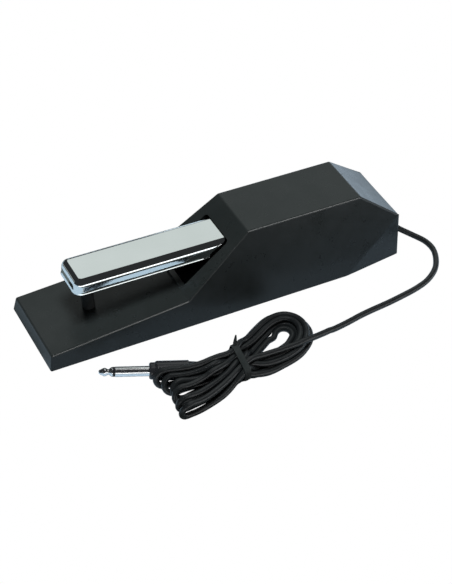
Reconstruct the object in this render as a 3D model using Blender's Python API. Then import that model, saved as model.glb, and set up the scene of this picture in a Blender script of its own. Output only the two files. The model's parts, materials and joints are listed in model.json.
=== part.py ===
"""Sustain pedal with its lead: moulded case, sprung steel pedal, foot switch and quarter-inch plug.

Every piece is drawn in the case's own coordinates, in metres: X to the right, Y from the toe end
towards the rear wall, Z up from the case's lower edge. The empty "part_frame" then puts the
origin under the middle of the case, on the surface that the rubber feet stand on.
"""
import math

import bmesh
import bpy
from mathutils import Matrix, Vector

MM = 0.001
GAP = 0.3 * MM  # air between touching pieces

# Case, side view (y, z) and plan
LENGTH = 257 * MM
HALF_WIDTH = 31 * MM  # at the lower edge
SIDE_DRAFT = 0.179  # the sides lean in by this much per unit of height
WALL = 2.5 * MM
EDGE_RADIUS = 1.1 * MM
DECK_FRONT = (1.3 * MM, 11.1 * MM)
DECK_REAR = (95.5 * MM, 19.5 * MM)
TOP_FRONT = (138.8 * MM, 57.3 * MM)
TOP_REAR = (222.5 * MM, 57.3 * MM)
REAR_EDGE = (252.8 * MM, 35.3 * MM)
CHAMFER_START_Y = 213 * MM  # where the rear corner face leaves the side
CHAMFER_END_X = 25.4 * MM  # where it meets the rear wall
SLOT_HALF_WIDTH = 15 * MM
SLOT_BOTTOM = 20.1 * MM
SLOT_TOP = 48.2 * MM
SLOT_CORNER = 2 * MM
SLOT_DEPTH_Y = 150 * MM  # the slot's cutter ends here, well inside the case
UPSTOP_Y = (150 * MM, 156 * MM)
UPSTOP_HALF_WIDTH = 9 * MM
UPSTOP_RIB_BOTTOM = 49.7 * MM

# Base
PLATE_BOTTOM = 0.2 * MM
PLATE_TOP = 1.8 * MM
FLOOR_Z = PLATE_TOP + GAP  # where the pieces inside stand
FOOT_HEIGHT = 1.5 * MM
FOOT_RADIUS = 7 * MM
BASE_SCREW_X_Y = [(22 * MM, 12 * MM), (23 * MM, 101 * MM), (19 * MM, 236 * MM)]
FOOT_X_Y = [(19 * MM, 26 * MM), (18 * MM, 222 * MM)]
BASE_SCREW_TIP = 7.5 * MM
BOSS_RADIUS = 3.6 * MM
SCREW_HOLE = 1.8 * MM  # clearance for a 3 mm screw
THROUGH = 40 * MM  # a cutter this long passes right through any piece

# Pedal, drawn about its hinge
HINGE_Y = 195 * MM
HINGE_Z = 36 * MM
REST_TILT = math.radians(0.57)  # toe up
PEDAL_TOP = 11.0 * MM
PEDAL_DEPTH = 10.3 * MM
PEDAL_HALF_WIDTH = 14 * MM
PEDAL_TOE_Y = -170.7 * MM
PEDAL_TAIL_Y = 22 * MM
PEDAL_SHEET = 1.4 * MM
BULLNOSE = 5.2 * MM  # roll from the top face into the sides
ROLL_STEPS = 4
TOE_CORNER = 5.8 * MM
EAR_RADIUS = 7 * MM
SEAT_Y = -35 * MM
ACTUATOR_Y = 18 * MM

# Hinge
PIN_RADIUS = 2.5 * MM
PIN_HALF_LENGTH = 19 * MM
BUSH_BORE = PIN_RADIUS + GAP
BUSH_RADIUS = 3.5 * MM
BUSH_FLANGE_RADIUS = 5.2 * MM
CHEEK_INNER = 15.3 * MM
CHEEK_OUTER = 16.8 * MM
CHEEK_RADIUS = 8 * MM
BRACKET_HALF_LENGTH = 13 * MM
BRACKET_FOOT_HEIGHT = 12 * MM  # where the cheek starts to narrow
BRACKET_SCREW_OFFSET = 7 * MM
GROOVE = (17.1 * MM, 17.9 * MM)
GROOVE_RADIUS = 2.0 * MM

# Spring
SPRING_RADIUS = 6.2 * MM  # to the middle of the wire
SPRING_WIRE = 0.8 * MM  # wire radius
SPRING_TURNS = 8.5
SPRING_STEPS = 14  # points in each turn
SPRING_Y = HINGE_Y + SEAT_Y
SPRING_BOTTOM = 6.8 * MM
SPRING_TOP = 42.2 * MM
SEAT_LUG_RADIUS = 2 * MM  # of the lower seat, in the base plate
SPIGOT_RADIUS = 4.8 * MM  # of both seats, inside the spring

# Switch
SWITCH_Y = (213 * MM, 233 * MM)
SWITCH_Z = (26 * MM, 34.5 * MM)
SWITCH_HALF = 3.2 * MM
SWITCH_HOLE = 1.3 * MM
LEVER_PIVOT = (231.5 * MM, 36.1 * MM)
LEVER_TIP_Y = 211 * MM
LEVER_EYE = 0.9 * MM
LUG_FRONT_Y = 229.8 * MM
LUG_TOP = 37.3 * MM
PLUNGER_Y = 225.5 * MM
WELL_BOTTOM = 31 * MM
SWITCH_SCREW_Y = [218.25 * MM, 227.75 * MM]
SWITCH_SCREW_Z = 28.2 * MM
SWITCH_SHEET = 1.2 * MM
SWITCH_FLANGE_X = 15 * MM
FLANGE_SCREW_X = 10.2 * MM
TERMINAL_BOTTOM = 20 * MM

# Clamp that holds the cord inside the case
CLAMP_Y = (242.5 * MM, 248.5 * MM)
CLAMP_HALF_WIDTH = 11 * MM
CLAMP_SHEET = 1.2 * MM
CLAMP_SCREW_OFFSET = 7.5 * MM

# Bump stop, on the deck
STOP_Y = 39 * MM
STOP_PROFILE_MM = [(0, -4.8), (2.4, -4.8), (3.2, -4.2), (3.2, -2.8), (2.0, -2.8), (2.0, 0.3),
                   (4.2, 0.3), (4.0, 14.6), (3.2, 15.7), (1.8, 16.0), (0, 16.0)]

# Cord and plug
CORD_RADIUS = 2 * MM
EXIT_X = 2.5 * MM  # middle of the cord in the rear wall
EXIT_Z = 6 * MM
NOTCH_RADIUS = 3.8 * MM  # opening in the rear wall
RELIEF_END_Y = 261.5 * MM
PLUG_SHOULDER = (59.2 * MM, 53.0 * MM)
PLUG_TURN = math.radians(-22.7)  # the plug's own +Y, towards the cord, about Z
BARREL_RADIUS = 6.2 * MM
SLEEVE_RADIUS = 3.175 * MM
PLUG_LENGTH = 31 * MM
PLUG_TAIL = 37.7 * MM
HANK_BOTTOM = 2.2 * MM - FOOT_HEIGHT
HANK_TOP = 12.0 * MM - FOOT_HEIGHT
HANK_EDGE = 2.5 * MM
TIE_X = (63.8 * MM, 88.8 * MM)
TIE_Y = (104 * MM, 108.5 * MM)
TIE_THICKNESS = 1.5 * MM

# Route of the lead, from the strain relief to the hank, as (x, y, height of its middle)
LEAD_ROUTE_MM = [
    (2.5, 261.8, 6.0), (3.0, 264.6, 5.6), (4.6, 267.4, 4.6), (7.2, 270.0, 3.1), (13.6, 275.8, 1.2),
    (22.8, 281.0, 0.6),
    (32.1, 281.5, 0.6), (41.6, 277.6, 0.6), (50.2, 270.8, 0.6), (57.0, 260.5, 0.6),
    (60.8, 249.0, 0.6), (63.2, 236.0, 0.6), (65.0, 223.8, 0.6), (66.2, 212.3, 0.6),
    (67.6, 201.5, 0.6), (70.0, 189.2, 0.8), (73.0, 177.0, 2.6),
    (74.1, 171.0, 4.5), (74.3, 167.2, 5.4),
]
# Stretch between the plug's tail and the hank
TAIL_ROUTE_MM = [(73.9, 88.1, 4.7), (74.8, 90.6, 4.8), (75.6, 93.5, 5.0), (76.0, 96.0, 5.2)]
# Outline of the tied hank, seen from above, anticlockwise
HANK_OUTLINE_MM = [
    (87.5, 107), (89.2, 118), (88.9, 132), (87.4, 146), (85.6, 155), (82.8, 162), (79, 165.6),
    (75, 166.6), (71, 166.9), (60, 167.2),
    (49.5, 161.5), (45.3, 150.5), (47, 137), (55, 123), (64.4, 111), (65.5, 103.5), (69, 98.2),
    (73.3, 96.5), (78.7, 96.4), (82.3, 92.8), (81.6, 84), (76.3, 72), (70.2, 60), (68.2, 51.2),
    (76, 50), (88, 50.6), (98.5, 52.2), (104.6, 58), (104, 68), (98.8, 80), (92, 92),
]


def clear_scene():
    for old in list(bpy.data.objects):
        bpy.data.objects.remove(old)


def material(name, colour, metallic, roughness):
    made = bpy.data.materials.new(name)
    made.use_nodes = True
    shader = made.node_tree.nodes["Principled BSDF"]
    shader.inputs["Base Color"].default_value = (*colour, 1)
    shader.inputs["Metallic"].default_value = metallic
    shader.inputs["Roughness"].default_value = roughness
    made.diffuse_color = (*colour, 1)
    return made


def empty(name, location, parent=None, rotation=(0, 0, 0)):
    made = bpy.data.objects.new(name, None)
    bpy.context.collection.objects.link(made)
    made.location = location
    made.rotation_euler = rotation
    made.parent = parent
    return made


def add_object(name, mesh, look, parent, location=(0, 0, 0), rotation=(0, 0, 0)):
    """Link a mesh or curve as one named piece of the pedal."""
    made = bpy.data.objects.new(name, mesh)
    bpy.context.collection.objects.link(made)
    made.location = location
    made.rotation_euler = rotation
    made.parent = parent
    if not mesh.materials:
        mesh.materials.append(look)
    return made


def add_helper(name, mesh, parent, location=(0, 0, 0)):
    """Link a mesh that only cuts or adds to another piece."""
    made = bpy.data.objects.new(name, mesh)
    bpy.context.collection.objects.link(made)
    made.location = location
    made.parent = parent
    made.hide_render = True
    made.display_type = "WIRE"
    return made


def boolean(target, helper, operation="DIFFERENCE"):
    step = target.modifiers.new(helper.name, "BOOLEAN")
    step.operation = operation
    step.object = helper
    step.solver = "EXACT"


def cut(target, mesh, parent, location=(0, 0, 0)):
    """Cut a mesh's shape out of a piece."""
    boolean(target, add_helper(mesh.name, mesh, parent, location))


def finish_mesh(bm, name, smooth=False):
    bmesh.ops.recalc_face_normals(bm, faces=bm.faces)
    mesh = bpy.data.meshes.new(name)
    bm.to_mesh(mesh)
    bm.free()
    if smooth:
        mesh.shade_smooth()
        mesh.set_sharp_from_angle(angle=math.radians(35))
    return mesh


def prism_bmesh(outline, axis, low, high):
    """Extrude a closed outline along X, Y or Z. The outline's two numbers are the other two axes."""
    def point(a, b, along):
        return {"X": (along, a, b), "Y": (a, along, b), "Z": (a, b, along)}[axis]

    bm = bmesh.new()
    face = bm.faces.new([bm.verts.new(point(a, b, low)) for a, b in outline])
    shift = Vector(point(0, 0, high - low))
    grown = bmesh.ops.extrude_face_region(bm, geom=[face])
    moved = [part for part in grown["geom"] if isinstance(part, bmesh.types.BMVert)]
    bmesh.ops.translate(bm, verts=moved, vec=shift)
    bmesh.ops.recalc_face_normals(bm, faces=bm.faces)
    return bm


def prism(name, outline, axis, low, high, smooth=False):
    return finish_mesh(prism_bmesh(outline, axis, low, high), name, smooth)


def box(name, low, high):
    outline = [(low[0], low[1]), (high[0], low[1]), (high[0], high[1]), (low[0], high[1])]
    return prism(name, outline, "Z", low[2], high[2])


def turned(name, profile, segments=20, axis="Z"):
    """Turn a profile of (radius, height) about an axis.

    A profile that starts and ends on the axis makes a solid; any other is closed into a ring.
    """
    bm = bmesh.new()
    rows = []
    for radius, height in profile:
        if radius == 0:
            rows.append([bm.verts.new((0, 0, height))])
            continue
        turn = [2 * math.pi * step / segments for step in range(segments)]
        rows.append([bm.verts.new((radius * math.cos(a), radius * math.sin(a), height)) for a in turn])
    pairs = list(zip(rows, rows[1:]))
    if len(rows[0]) > 1:
        pairs.append((rows[-1], rows[0]))
    for first, second in pairs:
        for step in range(segments):
            after = (step + 1) % segments
            corners = [first[step % len(first)], first[after % len(first)],
                       second[after % len(second)], second[step % len(second)]]
            bm.faces.new(list(dict.fromkeys(corners)))
    turns = {"Z": Matrix.Identity(3), "X": Matrix.Rotation(math.pi / 2, 3, "Y"),
             "Y": Matrix.Rotation(-math.pi / 2, 3, "X")}
    bm.transform(turns[axis].to_4x4())
    return finish_mesh(bm, name, smooth=True)


def cylinder(name, radius, low, high, segments=12, axis="Z"):
    """A plain round bar, mostly used to cut a hole."""
    return turned(name, [(0, low), (radius, low), (radius, high), (0, high)], segments, axis)


def inset_outline(points, distances):
    """Move each side of an anticlockwise outline inwards by its own distance."""
    count = len(points)
    sides = []
    for number, distance in enumerate(distances):
        start, end = Vector(points[number]), Vector(points[(number + 1) % count])
        along = (end - start).normalized()
        inward = Vector((-along.y, along.x))
        sides.append((start + inward * distance, along))
    corners = []
    for number in range(count):
        (base, along), (other, other_along) = sides[number - 1], sides[number]
        cross = along.x * other_along.y - along.y * other_along.x
        reach = ((other - base).x * other_along.y - (other - base).y * other_along.x) / cross
        corners.append(tuple(base + along * reach))
    return corners


def arc(centre, radius, start_deg, end_deg, steps):
    """Points along an arc in the outline's own plane."""
    angles = [math.radians(start_deg + (end_deg - start_deg) * k / steps) for k in range(steps + 1)]
    return [(centre[0] + radius * math.cos(a), centre[1] + radius * math.sin(a)) for a in angles]


def rounded_rectangle(low, high, radius, steps=5):
    """Outline of a rectangle with round corners, anticlockwise."""
    corners = [(high[0] - radius, low[1] + radius, -90), (high[0] - radius, high[1] - radius, 0),
               (low[0] + radius, high[1] - radius, 90), (low[0] + radius, low[1] + radius, 180)]
    return [point for x, y, start in corners for point in arc((x, y), radius, start, start + 90, steps)]


def smooth_points(route, per_span, closed=False):
    """Read a Catmull-Rom curve through the route's points."""
    count = len(route)
    points = [Vector(p) for p in route]

    def pick(number):
        return points[number % count] if closed else points[min(max(number, 0), count - 1)]

    made = []
    for number in range(count if closed else count - 1):
        a, b, c, d = (pick(number + k) for k in (-1, 0, 1, 2))
        for step in range(per_span):
            t = step / per_span
            made.append(0.5 * (2 * b + (c - a) * t + (2 * a - 5 * b + 4 * c - d) * t ** 2
                               + (3 * b - a - 3 * c + d) * t ** 3))
    if not closed:
        made.append(points[-1])
    return made


def tube(name, points, radius, resolution, look, parent):
    """A round cord or wire: a POLY curve with a bevel and filled caps."""
    curve = bpy.data.curves.new(name, "CURVE")
    curve.dimensions = "3D"
    curve.bevel_depth = radius
    curve.bevel_resolution = resolution
    curve.render_resolution_u = 0
    curve.use_fill_caps = True
    spline = curve.splines.new("POLY")
    spline.points.add(len(points) - 1)
    for place, point in zip(spline.points, points):
        place.co = (*point, 1)
    return add_object(name, curve, look, parent)


# ---------------------------------------------------------------- case and base

def case_profile():
    """Side view of the case, anticlockwise, as (y, z)."""
    return [(0, 0), (LENGTH, 0), REAR_EDGE, TOP_REAR, TOP_FRONT, DECK_REAR, DECK_FRONT]


def trim(bm, point, normal):
    """Cut away what lies beyond a plane and close the cut."""
    everything = bm.verts[:] + bm.edges[:] + bm.faces[:]
    bmesh.ops.bisect_plane(bm, geom=everything, plane_co=point, plane_no=normal, clear_outer=True)
    rim = [edge for edge in bm.edges if edge.is_boundary]
    bmesh.ops.contextual_create(bm, geom=rim)


def case_body(inset, lower_inset):
    """The case's outer form, moved inwards by inset, with an inset of its own on the lower face."""
    sides = [lower_inset] + [inset] * 6
    bm = prism_bmesh(inset_outline(case_profile(), sides), "X", -2 * HALF_WIDTH, 2 * HALF_WIDTH)
    for side in (1, -1):
        lean = Vector((side, 0, SIDE_DRAFT)).normalized()
        trim(bm, Vector((side * HALF_WIDTH, 0, 0)) - lean * inset, lean)
        start = Vector((side * HALF_WIDTH, CHAMFER_START_Y, 0))
        foot = Vector((side * CHAMFER_END_X, LENGTH, 0))
        peak = Vector((side * (HALF_WIDTH - SIDE_DRAFT * REAR_EDGE[1]), *REAR_EDGE))
        outward = (foot - start).cross(peak - start).normalized() * side
        trim(bm, start - outward * inset, outward)
    return bm


def round_edges(bm, radius, segments, keep):
    """Round every sharp edge that keep() accepts."""
    bmesh.ops.recalc_face_normals(bm, faces=bm.faces)
    edges = [edge for edge in bm.edges if keep(edge) and edge.calc_face_angle() > math.radians(3)]
    bmesh.ops.bevel(bm, geom=edges, offset=radius, segments=segments, profile=0.5,
                    affect="EDGES", clamp_overlap=True)


def roof_height(y):
    """Height of the case's outer face above a point on its length."""
    roof = case_profile()[2:]
    for (rear_y, rear_z), (front_y, front_z) in zip(roof, roof[1:]):
        if front_y <= y <= rear_y:
            return front_z + (rear_z - front_z) * (y - front_y) / (rear_y - front_y)
    return roof[-1][1]


def make_case(look, parent):
    outer = case_body(0, 0)
    round_edges(outer, EDGE_RADIUS, 2, lambda edge: max(v.co.z for v in edge.verts) > MM)
    case = add_object("upper_case", finish_mesh(outer, "upper_case", smooth=True), look, parent)
    hollow = finish_mesh(case_body(WALL, -MM), "case_hollow")
    cut(case, hollow, parent)

    slot = rounded_rectangle((-SLOT_HALF_WIDTH, SLOT_BOTTOM), (SLOT_HALF_WIDTH, SLOT_TOP), SLOT_CORNER, 3)
    cut(case, prism("pedal_slot", slot, "Y", DECK_REAR[0] - 8 * MM, SLOT_DEPTH_Y), parent)

    rib = box("upstop_rib", (-UPSTOP_HALF_WIDTH, UPSTOP_Y[0], UPSTOP_RIB_BOTTOM),
              (UPSTOP_HALF_WIDTH, UPSTOP_Y[1], TOP_FRONT[1] - WALL / 2))
    boolean(case, add_helper("upstop_rib", rib, parent), "UNION")
    for x, y in base_screw_places():
        top = min(roof_height(y - BOSS_RADIUS), roof_height(y + BOSS_RADIUS)) - 0.4 * WALL
        boss = cylinder("screw_boss", BOSS_RADIUS, FLOOR_Z, top, 16)
        boolean(case, add_helper("screw_boss", boss, parent, (x, y, 0)), "UNION")
        cut(case, cylinder("screw_pilot", SCREW_HOLE, 0, BASE_SCREW_TIP + 0.5 * MM), parent, (x, y, 0))

    outline = [(EXIT_X - NOTCH_RADIUS, -2 * MM), (EXIT_X + NOTCH_RADIUS, -2 * MM)]
    outline += arc((EXIT_X, EXIT_Z), NOTCH_RADIUS, 0, 180, 12)
    cut(case, prism("relief_notch", outline, "Y", LENGTH - 9 * MM, LENGTH + 5 * MM), parent)
    stop_hole = cylinder("stop_hole", 2.3 * MM, -6 * MM, 3 * MM, 16)
    helper = add_helper("stop_hole", stop_hole, parent, stop_place())
    helper.rotation_euler.x = deck_angle()
    boolean(case, helper)


def deck_angle():
    return math.atan2(DECK_REAR[1] - DECK_FRONT[1], DECK_REAR[0] - DECK_FRONT[0])


def stop_place():
    """Where the bump stop's axis meets the deck."""
    return (0, STOP_Y, DECK_FRONT[1] + (STOP_Y - DECK_FRONT[0]) * math.tan(deck_angle()))


def base_screw_places():
    return [(side * x, y) for x, y in BASE_SCREW_X_Y for side in (-1, 1)]


def plate_outline(inset):
    """Plan of the case at its lower edge, anticlockwise, moved inwards."""
    plan = [(-HALF_WIDTH, 0), (HALF_WIDTH, 0), (HALF_WIDTH, CHAMFER_START_Y), (CHAMFER_END_X, LENGTH),
            (-CHAMFER_END_X, LENGTH), (-HALF_WIDTH, CHAMFER_START_Y)]
    return inset_outline(plan, [inset] * 6)


def make_base(steel, zinc, rubber, parent):
    outline = plate_outline(WALL + 1.1 * MM)
    sheet = prism("base_plate", outline, "Z", PLATE_BOTTOM, PLATE_TOP)
    plate = add_object("base_plate", sheet, steel, parent)
    above = 2 * PLATE_TOP
    sink = [(0, -MM), (3.6 * MM, -MM), (3.6 * MM, 0.35 * MM), (SCREW_HOLE, 2.0 * MM), (SCREW_HOLE, above),
            (0, above)]
    for x, y in base_screw_places():
        cut(plate, turned("countersink", sink, 16), parent, (x, y, 0))
    for x, y in floor_screw_places().values():
        cut(plate, cylinder("plate_hole", SCREW_HOLE, -MM, above), parent, (x, y, 0))
    cut(plate, cylinder("lug_hole", SEAT_LUG_RADIUS + GAP, -MM, above), parent, (0, SPRING_Y, 0))

    head = [(0, PLATE_BOTTOM), (3.1 * MM, PLATE_BOTTOM), (3.1 * MM, 0.5 * MM), (1.5 * MM, 1.9 * MM),
            (1.5 * MM, BASE_SCREW_TIP - MM), (0.6 * MM, BASE_SCREW_TIP), (0, BASE_SCREW_TIP)]
    screw = turned("base_screw", head, 14)
    for number, (x, y) in enumerate(base_screw_places(), 1):
        add_object(f"base_screw_{number}", screw, zinc, parent, (x, y, 0))

    top = PLATE_BOTTOM - GAP
    bevel = 0.4 * MM
    shape = [(0, -FOOT_HEIGHT), (FOOT_RADIUS - bevel, -FOOT_HEIGHT), (FOOT_RADIUS, bevel - FOOT_HEIGHT),
             (FOOT_RADIUS, top), (0, top)]
    foot = turned("rubber_foot", shape, 24)
    for end, (x, y) in zip(("front", "rear"), FOOT_X_Y):
        for side, sign in (("left", -1), ("right", 1)):
            add_object(f"rubber_foot_{end}_{side}", foot, rubber, parent, (sign * x, y, 0))


def floor_screw_places():
    """Machine screws that hold the inner pieces down to the base plate."""
    clamp_y = sum(CLAMP_Y) / 2
    return {"bracket_screw_front": (0, HINGE_Y - BRACKET_SCREW_OFFSET),
            "bracket_screw_rear": (0, HINGE_Y + BRACKET_SCREW_OFFSET),
            "switch_bracket_screw_front": (FLANGE_SCREW_X, SWITCH_Y[0] + 4 * MM),
            "switch_bracket_screw_rear": (FLANGE_SCREW_X, SWITCH_Y[1] - 5 * MM),
            "clamp_screw_left": (EXIT_X - CLAMP_SCREW_OFFSET, clamp_y),
            "clamp_screw_right": (EXIT_X + CLAMP_SCREW_OFFSET, clamp_y)}


def pan_screw(name, seat, tip, head=2.8, height=1.8, shank=1.5):
    """A pan-head screw along Z: head above seat, shank down to tip."""
    head, height, shank = head * MM, height * MM, shank * MM
    profile = [(0, tip), (shank, tip), (shank, seat), (head, seat), (head, seat + 0.6 * height),
               (0.7 * head, seat + height), (0, seat + height)]
    return turned(name, profile, 14)


def make_floor_screws(zinc, parent):
    sheets = {"bracket": CHEEK_OUTER - CHEEK_INNER, "switch": SWITCH_SHEET, "clamp": CLAMP_SHEET}
    for name, (x, y) in floor_screw_places().items():
        seat = FLOOR_Z + sheets[name.split("_")[0]] + GAP
        mesh = pan_screw(name, seat, PLATE_BOTTOM + 0.1 * MM)
        add_object(name, mesh, zinc, parent, (x, y, 0))


def make_bump_stop(rubber, parent):
    """A rubber post with a barb below the deck. Its profile counts heights from the deck."""
    mesh = turned("bump_stop", [(radius * MM, height * MM) for radius, height in STOP_PROFILE_MM])
    add_object("bump_stop", mesh, rubber, parent, stop_place(), (deck_angle(), 0, 0))


# ---------------------------------------------------------------- pedal and hinge

def pedal_outline(inset, tail_y):
    """Plan of the pedal about its hinge, anticlockwise from the tail."""
    half = PEDAL_HALF_WIDTH - inset
    toe = PEDAL_TOE_Y + inset
    corner = TOE_CORNER - inset
    left = arc((-half + corner, toe + corner), corner, 180, 270, 5)
    right = arc((half - corner, toe + corner), corner, 270, 360, 5)
    return [(half, tail_y), (-half, tail_y)] + left + right


def rolled_bar(name, inset, low, tail_y):
    """The pedal's plan extruded up to its top face, with the top rim rolled over. inset is the wall left."""
    roll = BULLNOSE - inset
    top = PEDAL_TOP - inset
    levels = [(0, low)] + [(roll - x, top - roll + z) for x, z in arc((0, 0), roll, 0, 90, ROLL_STEPS)]
    bm = bmesh.new()
    rings = [[bm.verts.new((x, y, z)) for x, y in pedal_outline(inset + extra, tail_y)] for extra, z in levels]
    for lower, upper in zip(rings, rings[1:]):
        for k in range(len(lower)):
            after = (k + 1) % len(lower)
            bm.faces.new([lower[k], lower[after], upper[after], upper[k]])
    bm.faces.new(list(reversed(rings[0])))
    bm.faces.new(rings[-1])
    return finish_mesh(bm, name, smooth=True)


def make_pedal(chrome, nylon, zinc, pedal_axis):
    low = PEDAL_TOP - PEDAL_DEPTH
    pedal = add_object("pedal_plate", rolled_bar("pedal_plate", 0, low, PEDAL_TAIL_Y), chrome, pedal_axis)
    ear = arc((0, 0), EAR_RADIUS, 180, 360, 8) + [(9 * MM, low + 2 * MM), (-9 * MM, low + 2 * MM)]
    ears = prism("hinge_ears", ear, "X", -PEDAL_HALF_WIDTH, PEDAL_HALF_WIDTH)
    boolean(pedal, add_helper("hinge_ears", ears, pedal_axis), "UNION")
    inner = rolled_bar("pedal_hollow", PEDAL_SHEET, -2 * EAR_RADIUS, PEDAL_TAIL_Y + 5 * MM)
    cut(pedal, inner, pedal_axis)
    cut(pedal, cylinder("bush_hole", BUSH_RADIUS + GAP, -THROUGH / 2, THROUGH / 2, 20, "X"), pedal_axis)
    for y in (SEAT_Y, ACTUATOR_Y):
        cut(pedal, cylinder("pedal_hole", SCREW_HOLE, 0, THROUGH / 2), pedal_axis, (0, y, 0))

    top = PEDAL_TOP - PEDAL_SHEET - GAP
    seat = [(SCREW_HOLE, top), (8 * MM, top), (8 * MM, top - 3 * MM), (SPIGOT_RADIUS, top - 3 * MM),
            (SPIGOT_RADIUS, 1.4 * MM), (0.8 * SPIGOT_RADIUS, 0.6 * MM), (SCREW_HOLE, 0.6 * MM)]
    add_object("upper_spring_seat", turned("upper_spring_seat", seat), nylon, pedal_axis, (0, SEAT_Y, 0))
    seat_screw = pan_screw("seat_screw", PEDAL_TOP + GAP, 2 * MM)
    add_object("seat_screw", seat_screw, zinc, pedal_axis, (0, SEAT_Y, 0))

    nose, half = 0.8 * MM, 3.5 * MM
    block = [(-nose, nose), (nose, nose), (half, 3.4 * MM), (half, top), (-half, top), (-half, 3.4 * MM)]
    actuator = add_object("switch_actuator", prism("switch_actuator", block, "X", -4 * MM, 4 * MM), nylon,
                          pedal_axis, (0, ACTUATOR_Y, 0))
    pilot = cylinder("actuator_pilot", SCREW_HOLE, 4 * MM, THROUGH / 2)
    cut(actuator, pilot, pedal_axis, (0, ACTUATOR_Y, 0))
    add_object("actuator_screw", pan_screw("actuator_screw", PEDAL_TOP + GAP, 4.5 * MM), zinc, pedal_axis,
               (0, ACTUATOR_Y, 0))

    flange = CHEEK_INNER - GAP
    inner_face = PEDAL_HALF_WIDTH + GAP
    sleeve_end = PEDAL_HALF_WIDTH - 1.8 * MM
    bush = [(BUSH_BORE, sleeve_end), (BUSH_RADIUS, sleeve_end), (BUSH_RADIUS, inner_face),
            (BUSH_FLANGE_RADIUS, inner_face), (BUSH_FLANGE_RADIUS, flange), (BUSH_BORE, flange)]
    for side, sign in (("left", -1), ("right", 1)):
        shape = [(r, sign * x) for r, x in bush]
        add_object(f"hinge_bush_{side}", turned("hinge_bush", shape, 20, "X"), nylon, pedal_axis)


def make_hinge(steel, zinc, parent):
    axis = (0, HINGE_Y, HINGE_Z)
    floor_top = FLOOR_Z + CHEEK_OUTER - CHEEK_INNER
    blank_top = HINGE_Z + 1.5 * CHEEK_RADIUS
    section = [(-CHEEK_OUTER, FLOOR_Z), (CHEEK_OUTER, FLOOR_Z), (CHEEK_OUTER, blank_top),
               (CHEEK_INNER, blank_top), (CHEEK_INNER, floor_top), (-CHEEK_INNER, floor_top),
               (-CHEEK_INNER, blank_top), (-CHEEK_OUTER, blank_top)]
    front, rear = HINGE_Y - BRACKET_HALF_LENGTH, HINGE_Y + BRACKET_HALF_LENGTH
    bracket = add_object("hinge_bracket", prism("hinge_bracket", section, "Y", front, rear), steel, parent)
    side = [(front, 0), (rear, 0), (rear, BRACKET_FOOT_HEIGHT)]
    side += arc((HINGE_Y, HINGE_Z), CHEEK_RADIUS, 15, 165, 10) + [(front, BRACKET_FOOT_HEIGHT)]
    cheeks = prism("cheek_shape", side, "X", -THROUGH / 2, THROUGH / 2)
    boolean(bracket, add_helper("cheek_shape", cheeks, parent), "INTERSECT")
    cut(bracket, cylinder("pin_hole", PIN_RADIUS + GAP, -THROUGH / 2, THROUGH / 2, 20, "X"), parent, axis)
    for offset in (-BRACKET_SCREW_OFFSET, BRACKET_SCREW_OFFSET):
        hole = cylinder("bracket_hole", SCREW_HOLE, 0, BRACKET_FOOT_HEIGHT)
        cut(bracket, hole, parent, (0, HINGE_Y + offset, 0))

    near, far = GROOVE
    bevel = 0.4 * MM
    half = [(PIN_RADIUS, near), (GROOVE_RADIUS, near), (GROOVE_RADIUS, far), (PIN_RADIUS, far),
            (PIN_RADIUS, PIN_HALF_LENGTH - bevel), (PIN_RADIUS - bevel, PIN_HALF_LENGTH),
            (0, PIN_HALF_LENGTH)]
    profile = [(radius, -along) for radius, along in reversed(half)] + half
    add_object("hinge_pin", turned("hinge_pin", profile, axis="X"), zinc, parent, axis)

    clip = arc((0, 0), 4.6 * MM, -60, 240, 14) + arc((0, 0), GROOVE_RADIUS + GAP, 240, -60, 12)
    for side, sign in (("left", -1), ("right", 1)):
        middle = sign * (near + far) / 2
        mesh = prism("retaining_clip", clip, "X", middle - 0.3 * MM, middle + 0.3 * MM)
        add_object(f"retaining_clip_{side}", mesh, zinc, parent, axis)


def make_spring(steel, nylon, parent):
    """A compression spring with a closed turn at each end, between two spigots."""
    flange, spigot_top = 9 * MM, 12 * MM
    flange_top = SPRING_BOTTOM - 1.1 * MM
    seat = [(0, 0.5 * MM), (SEAT_LUG_RADIUS, 0.5 * MM), (SEAT_LUG_RADIUS, FLOOR_Z), (flange, FLOOR_Z),
            (flange, flange_top), (SPIGOT_RADIUS, flange_top), (SPIGOT_RADIUS, spigot_top - MM),
            (0.8 * SPIGOT_RADIUS, spigot_top), (0, spigot_top)]
    add_object("lower_spring_seat", turned("lower_spring_seat", seat), nylon, parent, (0, SPRING_Y, 0))
    closed = 2 * SPRING_WIRE  # rise of each closed end turn
    rise = SPRING_TOP - SPRING_BOTTOM - 2 * SPRING_WIRE
    slope = (rise - 2 * closed) / (SPRING_TURNS - 2)
    points = []
    for step in range(round(SPRING_TURNS * SPRING_STEPS) + 1):
        turn = step / SPRING_STEPS
        open_turns = min(max(turn - 1, 0), SPRING_TURNS - 2)
        height = closed * (turn - open_turns) + slope * open_turns
        angle = 2 * math.pi * turn
        points.append((SPRING_RADIUS * math.cos(angle), SPRING_Y + SPRING_RADIUS * math.sin(angle),
                       SPRING_BOTTOM + SPRING_WIRE + height))
    tube("return_spring", points, SPRING_WIRE, 1, steel, parent)


# ---------------------------------------------------------------- switch and wiring

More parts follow.
